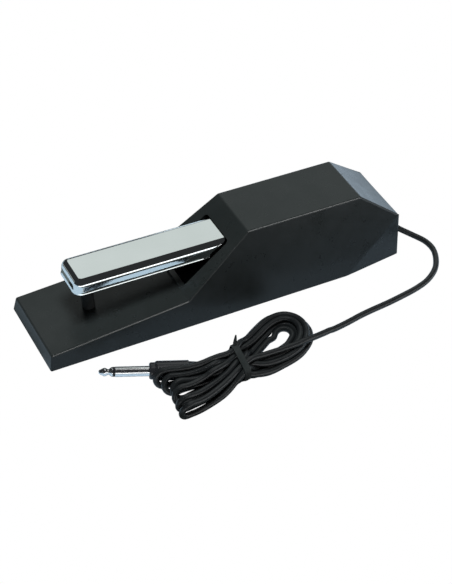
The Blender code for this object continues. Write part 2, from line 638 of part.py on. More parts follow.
def make_switch(black, red, brass, steel, zinc, parent, lever_axis):
    low_y, high_y = SWITCH_Y
    low_z, high_z = SWITCH_Z
    shape = box("switch_body", (-SWITCH_HALF, low_y, low_z), (SWITCH_HALF, high_y, high_z))
    body = add_object("switch_body", shape, black, parent)
    for sign in (-1, 1):
        outer, inner = sorted((sign * SWITCH_HALF, sign * 2.1 * MM))
        lug = box("lever_lug", (outer, LUG_FRONT_Y, high_z - MM), (inner, high_y, LUG_TOP))
        boolean(body, add_helper("lever_lug", lug, parent), "UNION")
    cut(body, cylinder("plunger_well", SWITCH_HOLE, WELL_BOTTOM, THROUGH), parent, (0, PLUNGER_Y, 0))

    near = SWITCH_HALF + GAP
    flange_top = FLOOR_Z + SWITCH_SHEET
    top = high_z - 1.5 * MM
    section = [(near, FLOOR_Z), (SWITCH_FLANGE_X, FLOOR_Z), (SWITCH_FLANGE_X, flange_top),
               (near + SWITCH_SHEET, flange_top), (near + SWITCH_SHEET, top), (near, top)]
    angle = prism("switch_bracket", section, "Y", low_y - MM, high_y)
    bracket = add_object("switch_bracket", angle, steel, parent)
    for y in SWITCH_SCREW_Y:
        hole = cylinder("switch_hole", SWITCH_HOLE, -THROUGH / 2, THROUGH / 2, 12, "X")
        helper = add_helper("switch_hole", hole, parent, (0, y, SWITCH_SCREW_Z))
        boolean(body, helper)
        boolean(bracket, helper)
    for name, place in floor_screw_places().items():
        if name.startswith("switch"):
            cut(bracket, cylinder("flange_hole", SCREW_HOLE, 0, 4 * SWITCH_SHEET), parent, (*place, 0))
    for name, y in zip(("switch_screw_front", "switch_screw_rear"), SWITCH_SCREW_Y):
        profile = [(0, -near - 1.4 * MM), (1.4 * MM, -near - 1.4 * MM), (1.9 * MM, -near - 0.8 * MM),
                   (1.9 * MM, -near), (1.0 * MM, -near), (1.0 * MM, 6.5 * MM), (0, 6.5 * MM)]
        add_object(name, turned(name, profile, 12, "X"), zinc, parent, (0, y, SWITCH_SCREW_Z))

    low, high = WELL_BOTTOM + 0.9 * MM, LEVER_PIVOT[1] - 0.5 * MM
    stem = [(0, low), (MM, low), (MM, high - 0.4 * MM), (0.6 * MM, high), (0, high)]
    add_object("switch_plunger", turned("switch_plunger", stem, 12), red, parent, (0, PLUNGER_Y, 0))
    tip_y = LEVER_TIP_Y - LEVER_PIVOT[0]
    strip = [(tip_y, -0.2 * MM)] + arc((0, 0), LEVER_EYE, 192, 528, 12) + [(tip_y, 0.2 * MM)]
    add_object("switch_lever", prism("switch_lever", strip, "X", -1.8 * MM, 1.8 * MM), steel, lever_axis)

    half_width, half_sheet = 1.5 * MM, 0.4 * MM
    for name, y in zip(("common", "open", "closed"), terminal_places()):
        blade = box("terminal", (-half_width, y - half_sheet, TERMINAL_BOTTOM),
                    (half_width, y + half_sheet, low_z - GAP))
        add_object(f"switch_terminal_{name}", blade, brass, parent)


def terminal_places():
    low_y, high_y = SWITCH_Y
    return [low_y + 3 * MM, (low_y + high_y) / 2, high_y - 3 * MM]


def make_wiring(black, red, white, steel, parent):
    jacket = [(EXIT_X, y * MM, EXIT_Z) for y in (251.2, 248, 245, 242, 239.5)]
    tube("inner_cord_end", jacket, CORD_RADIUS, 2, black, parent)
    first, _, last = (y / MM for y in terminal_places())
    top = TERMINAL_BOTTOM / MM - 0.3
    red_way = [(3.2, 239.2, 6.6), (2.4, 237, 8.0), (0.6, 234.4, 12), (0, last + 0.6, 16), (0, last, top)]
    white_way = [(1.6, 239.2, 5.8), (-1.2, 236.2, 5.6), (-4.6, 229.5, 6.5), (-4.8, 222, 9.0),
                 (-2.4, first + 1, 15.5), (0, first, top)]
    for name, way, look in (("wire_red", red_way, red), ("wire_white", white_way, white)):
        tube(name, [p * MM for p in smooth_points(way, 5)], 0.6 * MM, 1, look, parent)

    inner = CORD_RADIUS + GAP
    outer = inner + CLAMP_SHEET
    low, high = FLOOR_Z, FLOOR_Z + CLAMP_SHEET
    saddle = [(CLAMP_HALF_WIDTH, low), (CLAMP_HALF_WIDTH, high), (outer, high)]
    saddle += arc((0, EXIT_Z), outer, 0, 180, 10)
    saddle += [(-outer, high), (-CLAMP_HALF_WIDTH, high), (-CLAMP_HALF_WIDTH, low), (-inner, low)]
    saddle += arc((0, EXIT_Z), inner, 180, 0, 10) + [(inner, low)]
    saddle = prism("cord_clamp", saddle, "Y", *CLAMP_Y)
    clamp = add_object("cord_clamp", saddle, steel, parent, (EXIT_X, 0, 0))
    for name, place in floor_screw_places().items():
        if name.startswith("clamp"):
            cut(clamp, cylinder("clamp_hole", SCREW_HOLE, 0, 4 * CLAMP_SHEET), parent, (*place, 0))


def make_felt(felt, parent):
    low = HINGE_Z + PEDAL_TOP + 0.75 * MM
    margin = 0.5 * MM
    pad = box("upstop_felt", (margin - UPSTOP_HALF_WIDTH, UPSTOP_Y[0] + margin, low),
              (UPSTOP_HALF_WIDTH - margin, UPSTOP_Y[1] - margin, UPSTOP_RIB_BOTTOM - GAP))
    add_object("upstop_felt", pad, felt, parent)


# ---------------------------------------------------------------- cord and plug

def make_cord(rubber, parent):
    inside, wall_low, wall_high = 251.5 * MM, 253.4 * MM, LENGTH + GAP
    neck, flange = 3.4 * MM, 4.4 * MM
    collar, end = 3.7 * MM, 2.9 * MM
    profile = [(0, inside), (collar, inside), (collar, wall_low), (neck, wall_low), (neck, wall_high),
               (flange, wall_high), (flange, wall_high + 1.5 * MM), (end, RELIEF_END_Y), (0, RELIEF_END_Y)]
    grommet = turned("strain_relief", profile, axis="Y")
    add_object("strain_relief", grommet, rubber, parent, (EXIT_X, 0, EXIT_Z))
    route = smooth_points([Vector(p) * MM for p in LEAD_ROUTE_MM], 3)
    tube("cord_lead", route, CORD_RADIUS, 2, rubber, parent)
    tail = smooth_points([Vector(p) * MM for p in TAIL_ROUTE_MM], 2)
    tube("cord_tail", tail, CORD_RADIUS, 2, rubber, parent)
    outline = [tuple(p * MM) for p in smooth_points(HANK_OUTLINE_MM, 2, closed=True)]
    hank = prism_bmesh(outline, "Z", HANK_BOTTOM, HANK_TOP)
    round_edges(hank, HANK_EDGE, 2, lambda edge: abs(edge.verts[0].co.z - edge.verts[1].co.z) < MM)
    add_object("cord_hank", finish_mesh(hank, "cord_hank", smooth=True), rubber, parent)

    low, high = Vector((TIE_X[0], HANK_BOTTOM - GAP)), Vector((TIE_X[1], HANK_TOP + GAP))
    grown = Vector((TIE_THICKNESS, TIE_THICKNESS))
    band = rounded_rectangle(low - grown, high + grown, HANK_EDGE + TIE_THICKNESS)
    tie = add_object("cord_tie", prism("cord_tie", band, "Y", *TIE_Y, smooth=True), rubber, parent)
    hole = rounded_rectangle(low, high, HANK_EDGE)
    cut(tie, prism("tie_hole", hole, "Y", TIE_Y[0] - MM, TIE_Y[1] + MM), parent)


def make_plug(nickel, black, rubber, plug_axis):
    """Turned pieces along the plug's own Y, with 0 at the shoulder of the barrel, in millimetres."""
    tip = -PLUG_LENGTH / MM
    sleeve, barrel, tail = (size / MM for size in (SLEEVE_RADIUS, BARREL_RADIUS, PLUG_TAIL))
    gap = GAP / MM
    pieces = {
        "plug_tip": (nickel, [(0, tip), (0.9, tip + 0.3), (2.5, tip + 3.2), (2.6, tip + 3.9),
                              (1.9, tip + 5.6), (1.9, tip + 6.2), (2.9, tip + 7.9), (2.9, tip + 8.5),
                              (0, tip + 8.5)]),
        "plug_insulator": (black, [(0, tip + 8.8), (3.0, tip + 8.8), (3.0, tip + 9.9), (0, tip + 9.9)]),
        "plug_sleeve": (nickel, [(0, tip + 10.2), (sleeve, tip + 10.2), (sleeve, -gap), (0, -gap)]),
        "plug_collar": (black, [(0, 0), (4.6, 0), (5.2, 0.6), (5.2, 3.4), (0, 3.4)]),
        "plug_barrel": (black, [(0, 3.7), (barrel - 0.5, 3.7), (barrel, 4.4), (barrel, 24.2), (0, 24.2)]),
        "plug_relief": (rubber, [(0, 24.5), (5.5, 24.5), (5.0, 31.4), (0, 31.4)]),
        "plug_tail": (rubber, [(0, 31.7), (5.6, 31.7), (5.4, 36.6), (4.8, tail), (0, tail)]),
    }
    for name, (look, profile) in pieces.items():
        shape = [(radius * MM, along * MM) for radius, along in profile]
        add_object(name, turned(name, shape, axis="Y"), look, plug_axis)


def main():
    clear_scene()
    black = material("black_plastic", (0.018, 0.019, 0.02), 0, 0.45)
    rubber = material("black_rubber", (0.012, 0.012, 0.013), 0, 0.6)
    chrome = material("chrome_plate", (0.85, 0.87, 0.87), 1, 0.06)
    nickel = material("nickel_plate", (0.8, 0.79, 0.76), 1, 0.12)
    steel = material("galvanised_steel", (0.5, 0.51, 0.52), 1, 0.4)
    zinc = material("zinc_screw", (0.62, 0.62, 0.6), 1, 0.3)
    nylon = material("natural_nylon", (0.75, 0.73, 0.66), 0, 0.5)
    brass = material("brass_terminal", (0.72, 0.55, 0.25), 1, 0.3)
    felt = material("grey_felt", (0.16, 0.16, 0.17), 0, 0.95)
    red = material("red_plastic", (0.5, 0.03, 0.02), 0, 0.4)
    white = material("white_plastic", (0.75, 0.75, 0.73), 0, 0.4)

    frame = empty("part_frame", (0, -LENGTH / 2, FOOT_HEIGHT))
    pedal_axis = empty("pedal_axis", (0, HINGE_Y, HINGE_Z), frame, (-REST_TILT, 0, 0))
    lever_axis = empty("lever_axis", (0, *LEVER_PIVOT), frame)
    plug_z = BARREL_RADIUS + 0.1 * MM - FOOT_HEIGHT
    plug_axis = empty("plug_axis", (*PLUG_SHOULDER, plug_z), frame, (0, 0, PLUG_TURN))

    make_case(black, frame)
    make_base(steel, zinc, rubber, frame)
    make_floor_screws(zinc, frame)
    make_bump_stop(rubber, frame)
    make_pedal(chrome, nylon, zinc, pedal_axis)
    make_hinge(steel, zinc, frame)
    make_spring(steel, nylon, frame)
    make_switch(black, red, brass, steel, zinc, frame, lever_axis)
    make_wiring(rubber, red, white, steel, frame)
    make_felt(felt, frame)
    make_cord(rubber, frame)
    make_plug(nickel, black, rubber, plug_axis)


main()
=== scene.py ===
"""Sustain pedal with a tied lead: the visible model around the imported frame.

Pieces are drawn in the case's own coordinates, as in the CAD: X to the right, Y from the toe end to
the rear wall, Z up from the case's lower edge. place() then moves them into the frame.
"""
import json
import math

import bmesh
import bpy
import numpy as np
from mathutils import Matrix, Vector


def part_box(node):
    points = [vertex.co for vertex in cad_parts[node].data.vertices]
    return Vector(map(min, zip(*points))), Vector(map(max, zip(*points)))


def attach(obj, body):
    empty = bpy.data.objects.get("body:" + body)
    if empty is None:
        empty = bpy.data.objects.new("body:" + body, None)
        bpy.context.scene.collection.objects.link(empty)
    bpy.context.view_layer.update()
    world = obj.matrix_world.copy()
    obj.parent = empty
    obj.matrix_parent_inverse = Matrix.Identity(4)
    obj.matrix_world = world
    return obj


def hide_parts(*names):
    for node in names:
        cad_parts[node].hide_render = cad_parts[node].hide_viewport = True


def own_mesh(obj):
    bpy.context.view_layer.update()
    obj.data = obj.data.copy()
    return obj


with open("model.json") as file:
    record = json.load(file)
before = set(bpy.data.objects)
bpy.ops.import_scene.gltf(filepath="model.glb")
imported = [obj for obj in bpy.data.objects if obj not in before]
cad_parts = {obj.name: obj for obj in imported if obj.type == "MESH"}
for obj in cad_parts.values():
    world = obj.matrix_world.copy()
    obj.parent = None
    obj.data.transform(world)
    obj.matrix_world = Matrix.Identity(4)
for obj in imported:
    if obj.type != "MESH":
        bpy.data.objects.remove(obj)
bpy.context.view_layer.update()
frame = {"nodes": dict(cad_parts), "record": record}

MM = 0.001
CASE_LOW, CASE_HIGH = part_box("upper_case")
ORIGIN = Vector((0, CASE_LOW.y, CASE_LOW.z))  # the case's coordinates start here

# Case
LENGTH = CASE_HIGH.y - CASE_LOW.y
HALF_WIDTH = CASE_HIGH.x
SIDE_DRAFT = 0.179
WALL = 2.5 * MM
EDGE_RADIUS = 1.1 * MM
DECK_FRONT = (1.3 * MM, 11.1 * MM)
DECK_REAR = (95.5 * MM, 19.5 * MM)
TOP_FRONT = (138.8 * MM, 57.3 * MM)
TOP_REAR = (222.5 * MM, 57.3 * MM)
REAR_EDGE = (252.8 * MM, 35.3 * MM)
CHAMFER_START_Y = 213 * MM
CHAMFER_END_X = 25.4 * MM
SLOT_HALF_WIDTH = 15 * MM
SLOT_BOTTOM = 20.1 * MM
SLOT_TOP = 48.2 * MM
SLOT_CORNER = 2 * MM
SLOT_DEPTH_Y = 150 * MM
SLOT_LIP = 0.5 * MM  # rounding of the slot's rim
NOTCH_RADIUS = 3.8 * MM
RIB_PLAN = ((-9 * MM, 150 * MM), (9 * MM, 156 * MM))  # the rib over the pedal that carries the felt
RIB_BOTTOM = 49.7 * MM
BOSS_RADIUS = 3.6 * MM
BOSS_BOTTOM = 2.1 * MM
BOSS_HOLE_DEPTH = 8 * MM
STOP_HOLE = 2.3 * MM
STOP_HOLE_SPAN = (-6 * MM, 3 * MM)  # about the deck, square to it
NOTCH_SPAN = (-9 * MM, 5 * MM)  # about the rear wall

# Pedal, about its hinge
HINGE = Vector((0, 195 * MM, 36 * MM))
REST_TILT = math.radians(0.57)
PEDAL_TOP = 11.0 * MM
PEDAL_DEPTH = 10.3 * MM
PEDAL_HALF_WIDTH = 14 * MM
PEDAL_TOE_Y = -170.7 * MM
PEDAL_TAIL_Y = 22 * MM
PEDAL_SHEET = 1.4 * MM
BULLNOSE = 5.2 * MM  # roll from the top face into the sides
PEDAL_LIP = 0.35 * MM  # rounding of its lower edge
FLARE_IN = 0.45 * MM  # how far the side stands in above the flared lower edge
FLARE_RADIUS = 5.5 * MM
TOE_CORNER = 5.8 * MM
EAR_RADIUS = 7 * MM
EAR_ROOT = (9 * MM, 2 * MM)  # half length of its foot, and how far that goes up into the side
BUSH_HOLE = 3.8 * MM
PEDAL_SCREWS_Y = (-35 * MM, 18 * MM)
SCREW_HOLE = 1.8 * MM

# Spring
SPRING_RADIUS = 6.2 * MM
SPRING_WIRE = 0.8 * MM
SPRING_TURNS = 8.5
SPRING_Y = 160 * MM
SPRING_BOTTOM = 6.8 * MM
SPRING_TOP = 42.2 * MM

# Other pieces on the base
STOP_Y = 39 * MM
BASE_SCREWS = [(22 * MM, 12 * MM), (23 * MM, 101 * MM), (19 * MM, 236 * MM)]
FEET = [(19 * MM, 26 * MM), (18 * MM, 222 * MM)]
THROUGH = 40 * MM  # a cutter this long passes right through any piece

# Cord and plug, in millimetres
CORD_RADIUS = 2.0
EXIT = (2.5, 257.3, 6.0)
FLOOR_Z = -1.5
PLUG_SHOULDER = (59.2, 53.0, 4.8)
PLUG_TURN = math.radians(-22.7)
PLUG_BARREL = 6.2
PLUG_BARREL_END = 24.2
PLUG_RELIEF = 5.6
PLUG_TAIL = 37.7
TURNS = 6
TIE_Y = 106.6
TIE_WIDTH = 4.4
TIE_THICKNESS = 0.7
TIE_SLANT = 0.1  # its far side lies farther back
TIE_STEPS = 90
TIE_GAP = 0.03  # between the strip and the strands
TIE_EDGE = 0.25  # chamfer of the strip's edges
TIE_WIRE = (0.9, 0.3, 0.25)  # the wire's ridge along the strip: half width, half width of its top, height
TIE_END_LENGTH = 6.5
TIE_END_TURNS = 1.25
TIE_END_STEPS = 26
TIE_END_HALF = (1.25, 0.3)  # half width and half thickness of each twisted strip
TIE_END_WAY = Vector((-0.62, 0.42, 0.66)).normalized()

# The lead's middle line from the strain relief to the hank, as (x, y, height)
LEAD_ROUTE = [
    (2.5, 261.8, 6.0), (3.0, 264.6, 5.6), (4.6, 267.4, 4.6), (7.2, 270.0, 3.1), (13.6, 275.8, 1.2),
    (22.8, 281.0, 0.6),
    (32.1, 281.5, 0.6), (41.6, 277.6, 0.6), (50.2, 270.8, 0.6), (57.0, 260.5, 0.6),
    (60.8, 249.0, 0.6), (63.2, 236.0, 0.6), (65.0, 223.8, 0.6), (66.2, 212.3, 0.6),
    (67.6, 201.5, 0.6), (70.0, 189.2, 0.8), (73.0, 177.0, 2.6), (74.1, 171.0, 4.5),
]
# From the lead to the tie, over the hank's rear lobe
OVER_ROUTE = [(75.2, 165.5, 6.4), (77.6, 158, 7.9), (79.4, 150, 8.4), (79.7, 140, 8.5), (79.3, 130, 8.5),
              (79.3, 121, 8.6), (80.0, 113, 8.7)]
# From the tie to the plug
TAIL_ROUTE = [(69.3, 101.5, 2.6), (72.3, 97.5, 4.0), (74.7, 94.0, 4.8), (74.8, 90.9, 4.8), (73.9, 88.1, 4.7)]

# Stage
FLOOR_HALF = 6
PAINTED_BAND_X = 50 * MM  # middle of the floor's band of painted light, as reflections see it
PAINTED_BAND_FADE = (22 * MM, 50 * MM)  # how far from the middle the band ends
REAR_FADE = (200 * MM, 300 * MM)  # where the painted glow on the floor behind the case starts, which only reflections see
REAR_EMISSION = 2.3
PAINTED_FRONT_FADE = (-126 * MM, -142 * MM)  # where the floor turns to painted light in reflections, towards the front
LIGHT_TARGET = Vector((0.02, 0, 0.02))  # the softboxes face this point


def place(obj):
    """Move a piece drawn in the case's coordinates into the frame."""
    obj.data.transform(Matrix.Translation(ORIGIN))
    return obj


# ---------------- camera

CAMERA_PLACE = (0.6153, -0.3606, 0.6549)
CAMERA_AZIMUTH = math.radians(58.92)
CAMERA_ELEVATION = math.radians(42.82)
CAMERA_ROLL = math.radians(4.66)
CAMERA_LENS = 90.45  # millimetres, for the sensor's width
SENSOR_WIDTH = 36


def make_camera():
    data = bpy.data.cameras.new("camera")
    data.lens = CAMERA_LENS
    data.sensor_width = SENSOR_WIDTH
    data.clip_end = 20
    camera = link("camera", data)
    turn = Matrix.Rotation(CAMERA_AZIMUTH, 4, "Z") @ Matrix.Rotation(math.pi / 2 - CAMERA_ELEVATION, 4, "X")
    camera.matrix_world = Matrix.Translation(CAMERA_PLACE) @ turn @ Matrix.Rotation(CAMERA_ROLL, 4, "Z")
    bpy.context.scene.camera = camera


# ---------------- mesh helpers

def finish_mesh(bm, name):
    bmesh.ops.recalc_face_normals(bm, faces=bm.faces)
    mesh = bpy.data.meshes.new(name)
    bm.to_mesh(mesh)
    bm.free()
    return mesh


def link(name, data):
    made = bpy.data.objects.new(name, data)
    bpy.context.collection.objects.link(made)
    return made


def apply_modifiers(obj):
    """Bake the modifiers into the mesh."""
    bpy.context.view_layer.update()
    graph = bpy.context.evaluated_depsgraph_get()
    mesh = bpy.data.meshes.new_from_object(obj.evaluated_get(graph))
    mesh.name = obj.name
    obj.modifiers.clear()
    obj.data = mesh


def boolean(target, cutter_mesh, operation="DIFFERENCE"):
    """Cut or join a mesh and bake the result."""
    cutter = link("cutter", cutter_mesh)
    step = target.modifiers.new("cut", "BOOLEAN")
    step.operation = operation
    step.object = cutter
    step.solver = "EXACT"
    apply_modifiers(target)
    bpy.data.objects.remove(cutter)


def shade(obj, angle=35):
    """Smooth shading that keeps flat faces flat and edges over the angle sharp."""
    obj.data.shade_smooth()
    obj.data.set_sharp_from_angle(angle=math.radians(angle))
    step = obj.modifiers.new("normals", "WEIGHTED_NORMAL")
    step.keep_sharp = True
    step.weight = 80
    apply_modifiers(obj)
    return obj


def prism_bmesh(outline, axis, low, high):
    """Extrude a closed outline along X, Y or Z. The outline's two numbers are the other two axes."""
    def point(a, b, along):
        return {"X": (along, a, b), "Y": (a, along, b), "Z": (a, b, along)}[axis]

    bm = bmesh.new()
    face = bm.faces.new([bm.verts.new(point(a, b, low)) for a, b in outline])
    grown = bmesh.ops.extrude_face_region(bm, geom=[face])
    far_end = [part for part in grown["geom"] if isinstance(part, bmesh.types.BMVert)]
    bmesh.ops.translate(bm, verts=far_end, vec=Vector(point(0, 0, high - low)))
    bmesh.ops.recalc_face_normals(bm, faces=bm.faces)
    return bm


def prism(outline, axis, low, high):
    return finish_mesh(prism_bmesh(outline, axis, low, high), "prism")


def arc(centre, radius, start_deg, end_deg, steps):
    angles = [math.radians(start_deg + (end_deg - start_deg) * k / steps) for k in range(steps + 1)]
    return [(centre[0] + radius * math.cos(a), centre[1] + radius * math.sin(a)) for a in angles]


def rounded_rectangle(low, high, radius, steps=8):
    corners = [(high[0] - radius, low[1] + radius, -90), (high[0] - radius, high[1] - radius, 0),
               (low[0] + radius, high[1] - radius, 90), (low[0] + radius, low[1] + radius, 180)]
    return [point for x, y, start in corners for point in arc((x, y), radius, start, start + 90, steps)]


def inset_outline(points, distances):
    """Move each side of an anticlockwise outline inwards by its own distance."""
    sides = []
    for number, distance in enumerate(distances):
        start, end = Vector(points[number]), Vector(points[(number + 1) % len(points)])
        along = (end - start).normalized()
        sides.append((start + Vector((-along.y, along.x)) * distance, along))
    corners = []
    for number in range(len(points)):
        (base, along), (other, other_along) = sides[number - 1], sides[number]
        cross = along.x * other_along.y - along.y * other_along.x
        reach = ((other - base).x * other_along.y - (other - base).y * other_along.x) / cross
        corners.append(tuple(base + along * reach))
    return corners


def round_edges(bm, radius, segments, keep):
    bmesh.ops.recalc_face_normals(bm, faces=bm.faces)
    edges = [edge for edge in bm.edges if keep(edge) and edge.calc_face_angle() > math.radians(3)]
    bmesh.ops.bevel(bm, geom=edges, offset=radius, segments=segments, profile=0.5,
                    affect="EDGES", clamp_overlap=True)


def turned(profile, segments=48, axis="Z"):
    """Turn a profile of (radius, height) in metres. It ends on the axis, or is closed into a ring."""
    bm = bmesh.new()
    rows = []
    for radius, height in profile:
        turn = [2 * math.pi * step / segments for step in range(segments if radius > 0 else 1)]
        rows.append([bm.verts.new((radius * math.cos(a), radius * math.sin(a), height)) for a in turn])
    pairs = list(zip(rows, rows[1:]))
    if len(rows[0]) > 1:
        pairs.append((rows[-1], rows[0]))
    for first, second in pairs:
        for step in range(segments):
            after = (step + 1) % segments
            corners = [first[step % len(first)], first[after % len(first)],
                       second[after % len(second)], second[step % len(second)]]
            bm.faces.new(list(dict.fromkeys(corners)))
    turns = {"Z": Matrix.Identity(4), "X": Matrix.Rotation(math.pi / 2, 4, "Y"),
             "Y": Matrix.Rotation(-math.pi / 2, 4, "X")}
    bm.transform(turns[axis])
    return finish_mesh(bm, "turned")


def rounded_profile(points, radii, steps=5):
    """Round the corners of a profile, each by its own radius."""
    made = [points[0]]
    for before, corner, after, radius in zip(points, points[1:], points[2:], radii):
        a, b, c = Vector(before), Vector(corner), Vector(after)
        if radius == 0:
            made.append(corner)
            continue
        start, end = b + (a - b).normalized() * radius, b + (c - b).normalized() * radius
        for step in range(steps + 1):
            t = step / steps
            made.append(tuple(start * (1 - t) ** 2 + b * 2 * t * (1 - t) + end * t ** 2))
    return made + [points[-1]]


def skin(bm, rings):
    """Join each ring of vertices to the next one with faces."""
    for first, second in zip(rings, rings[1:]):
        for k in range(len(first)):
            after = (k + 1) % len(first)
            bm.faces.new([first[k], first[after], second[after], second[k]])


def close_ends(bm, rings):
    bm.faces.new(list(reversed(rings[0])))
    bm.faces.new(rings[-1])


def lathe(points, radii, segments, axis="Z", steps=5):
    """Turn a profile of (radius, height) in millimetres, with the rounding of each inner point."""
    rounded = rounded_profile(points, radii, steps)
    return turned([(radius * MM, height * MM) for radius, height in rounded], segments, axis)


def tube_mesh(points, radius, sides, name):
    """A round closed tube along points, with frames that turn as little as they can."""
    points = [Vector(p) for p in points]
    bm = bmesh.new()
    rings = []
    normal = None
    for number, point in enumerate(points):
        ahead = points[min(number + 1, len(points) - 1)] - points[max(number - 1, 0)]
        ahead.normalize()
        if normal is None:
            normal = ahead.orthogonal().normalized()
        normal = (normal - ahead * normal.dot(ahead)).normalized()
        side = ahead.cross(normal)
        turn = [2 * math.pi * k / sides for k in range(sides)]
        spokes = [(normal * math.cos(a) + side * math.sin(a)) * radius for a in turn]
        rings.append([bm.verts.new(point + spoke) for spoke in spokes])
    skin(bm, rings)
    close_ends(bm, rings)
    return finish_mesh(bm, name)


# ---------------- materials

class Look:
    """Builds one procedural material around a Principled shader."""

    def __init__(self, name, colour, metallic=0.0, roughness=0.5, specular=0.5, **extra):
        self.material = bpy.data.materials.new(name)
        self.material.use_nodes = True
        self.tree = self.material.node_tree
        self.shader = self.tree.nodes["Principled BSDF"]
        self.set("Base Color", (*colour, 1))
        self.set("Metallic", metallic)
        self.set("Roughness", roughness)
        self.set("Specular IOR Level", specular)
        for socket, value in extra.items():
            self.set(socket.replace("_", " "), value)
        self.place = self.node("ShaderNodeTexCoord").outputs["Object"]
        self.relief = None

    def set(self, socket, value):
        self.shader.inputs[socket].default_value = value

    def node(self, kind, **values):
        made = self.tree.nodes.new(kind)
        for key, value in values.items():
            setattr(made, key, value)
        return made

    def join(self, start, end):
        self.tree.links.new(start, end)

    def noise(self, scale, detail=3.0, roughness=0.6, stretch=(1, 1, 1)):
        """Noise of about 1 / scale metres, from 0 to 1."""
        mapping = self.node("ShaderNodeMapping")
        mapping.inputs["Scale"].default_value = stretch
        self.join(self.place, mapping.inputs["Vector"])
        made = self.node("ShaderNodeTexNoise")
        made.inputs["Scale"].default_value = scale
        made.inputs["Detail"].default_value = detail
        made.inputs["Roughness"].default_value = roughness
        self.join(mapping.outputs["Vector"], made.inputs["Vector"])
        return made.outputs["Fac"]

    def cells(self, scale):
        """Distance to the middle of the nearest cell, with cells about 1 / scale metres wide."""
        made = self.node("ShaderNodeTexVoronoi")
        made.inputs["Scale"].default_value = scale
        self.join(self.place, made.inputs["Vector"])
        return made.outputs["Distance"]

    def math(self, operation, first, second=None):
        """One Math node. first is a socket, second a socket or a number."""
        made = self.node("ShaderNodeMath", operation=operation)
        self.join(first, made.inputs[0])
        if isinstance(second, (int, float)):
            made.inputs[1].default_value = second
        elif second is not None:
            self.join(second, made.inputs[1])
        return made.outputs[0]

    def ramp(self, value, low, high, start=0.0, end=1.0):
        """Spread a value between two levels of the output."""
        made = self.node("ShaderNodeMapRange")
        made.inputs["From Min"].default_value = start
        made.inputs["From Max"].default_value = end
        made.inputs["To Min"].default_value = low
        made.inputs["To Max"].default_value = high
        self.join(value, made.inputs["Value"])
        return made.outputs["Result"]

    def vary_roughness(self, value, low, high, start=0.3, end=0.7):
        self.join(self.ramp(value, low, high, start, end), self.shader.inputs["Roughness"])

    def vary_colour(self, value, dark, light, start=0.3, end=0.7):
        mix = self.node("ShaderNodeMix", data_type="RGBA")
        mix.inputs["A"].default_value = (*dark, 1)
        mix.inputs["B"].default_value = (*light, 1)
        self.join(self.ramp(value, 0, 1, start, end), mix.inputs["Factor"])
        self.join(mix.outputs["Result"], self.shader.inputs["Base Color"])

    def bump(self, value, height, strength=1.0):
        """Add relief. height is in metres."""
        made = self.node("ShaderNodeBump")
        made.inputs["Strength"].default_value = strength
        made.inputs["Distance"].default_value = height
        self.join(value, made.inputs["Height"])
        if self.relief is not None:
            self.join(self.relief, made.inputs["Normal"])
        self.relief = made.outputs["Normal"]
        self.join(self.relief, self.shader.inputs["Normal"])


def case_plastic():
    look = Look("case_plastic", (0.011, 0.0125, 0.0125), roughness=0.3, specular=0.26)
    grain = look.noise(2600, 2.0)
    cloud = look.noise(28, 3.0)
    look.vary_colour(cloud, (0.0095, 0.011, 0.011), (0.0125, 0.014, 0.014))
    look.vary_roughness(look.noise(120, 4.0), 0.26, 0.34)
    look.bump(grain, 0.00004, 0.3)
    look.bump(look.noise(45, 1.0), 0.0001, 0.15)
    return look.material


def chrome_plate():
    look = Look("chrome_plate", (0.80, 0.83, 0.82), metallic=1.0, roughness=0.05)
    haze = look.noise(60, 5.0)
    look.vary_roughness(haze, 0.03, 0.085)
    look.vary_colour(look.noise(22, 2.0), (0.77, 0.80, 0.79), (0.83, 0.855, 0.85))
    look.bump(look.noise(35, 1.0), 0.00006, 0.12)
    return look.material


def nickel_plate():
    look = Look("nickel_plate", (0.86, 0.87, 0.88), metallic=1.0, roughness=0.19)
    lathe = look.noise(900, 2.0, stretch=(0.15, 1, 0.15))
    look.vary_roughness(lathe, 0.16, 0.22)
    look.vary_colour(look.noise(150, 3.0), (0.80, 0.81, 0.82), (0.90, 0.91, 0.92))
    look.bump(lathe, 0.00001, 0.4)
    return look.material


def metal(name, dark, light, roughness, grain=(1, 1, 1), relief=0.00001):
    look = Look(name, light, metallic=1.0, roughness=sum(roughness) / 2)
    texture = look.noise(700, 3.0, stretch=grain)
    look.vary_roughness(texture, *roughness)
    look.vary_colour(look.cells(140), dark, light, 0.0, 0.6)
    look.bump(texture, relief, 0.5)
    return look.material


def moulded(name, dark, light, roughness=(0.4, 0.55), specular=0.45,
            wear=(180, 3.0), cloud=(60, 2.0), grain=(900, 2.0), relief=(0.00003, 0.4)):
    """Plastic or rubber. wear, cloud and grain are the noises of its roughness, colour and relief."""
    look = Look(name, light, roughness=sum(roughness) / 2, specular=specular)
    look.vary_roughness(look.noise(*wear), *roughness)
    look.vary_colour(look.noise(*cloud), dark, light)
    look.bump(look.noise(*grain), *relief)
    return look.material


def cord_rubber():
    return moulded("cord_rubber", (0.0045, 0.005, 0.0055), (0.008, 0.0088, 0.0093), (0.30, 0.42), 0.45,
                   (300, 3.0), (90, 2.0), (1800, 2.0), (0.00003, 0.5))


def black_rubber():
    return moulded("black_rubber", (0.009, 0.0105, 0.0105), (0.016, 0.0175, 0.0175), (0.66, 0.85), 0.35,
                   (250, 3.0), (70, 3.0), (1500, 3.0), (0.00005, 0.6))


def plug_plastic():
    return moulded("plug_plastic", (0.008, 0.008, 0.009), (0.013, 0.013, 0.0145), (0.2, 0.32), 0.5,
                   (200, 4.0), (80, 2.0), (1200, 2.0), (0.00002, 0.35))


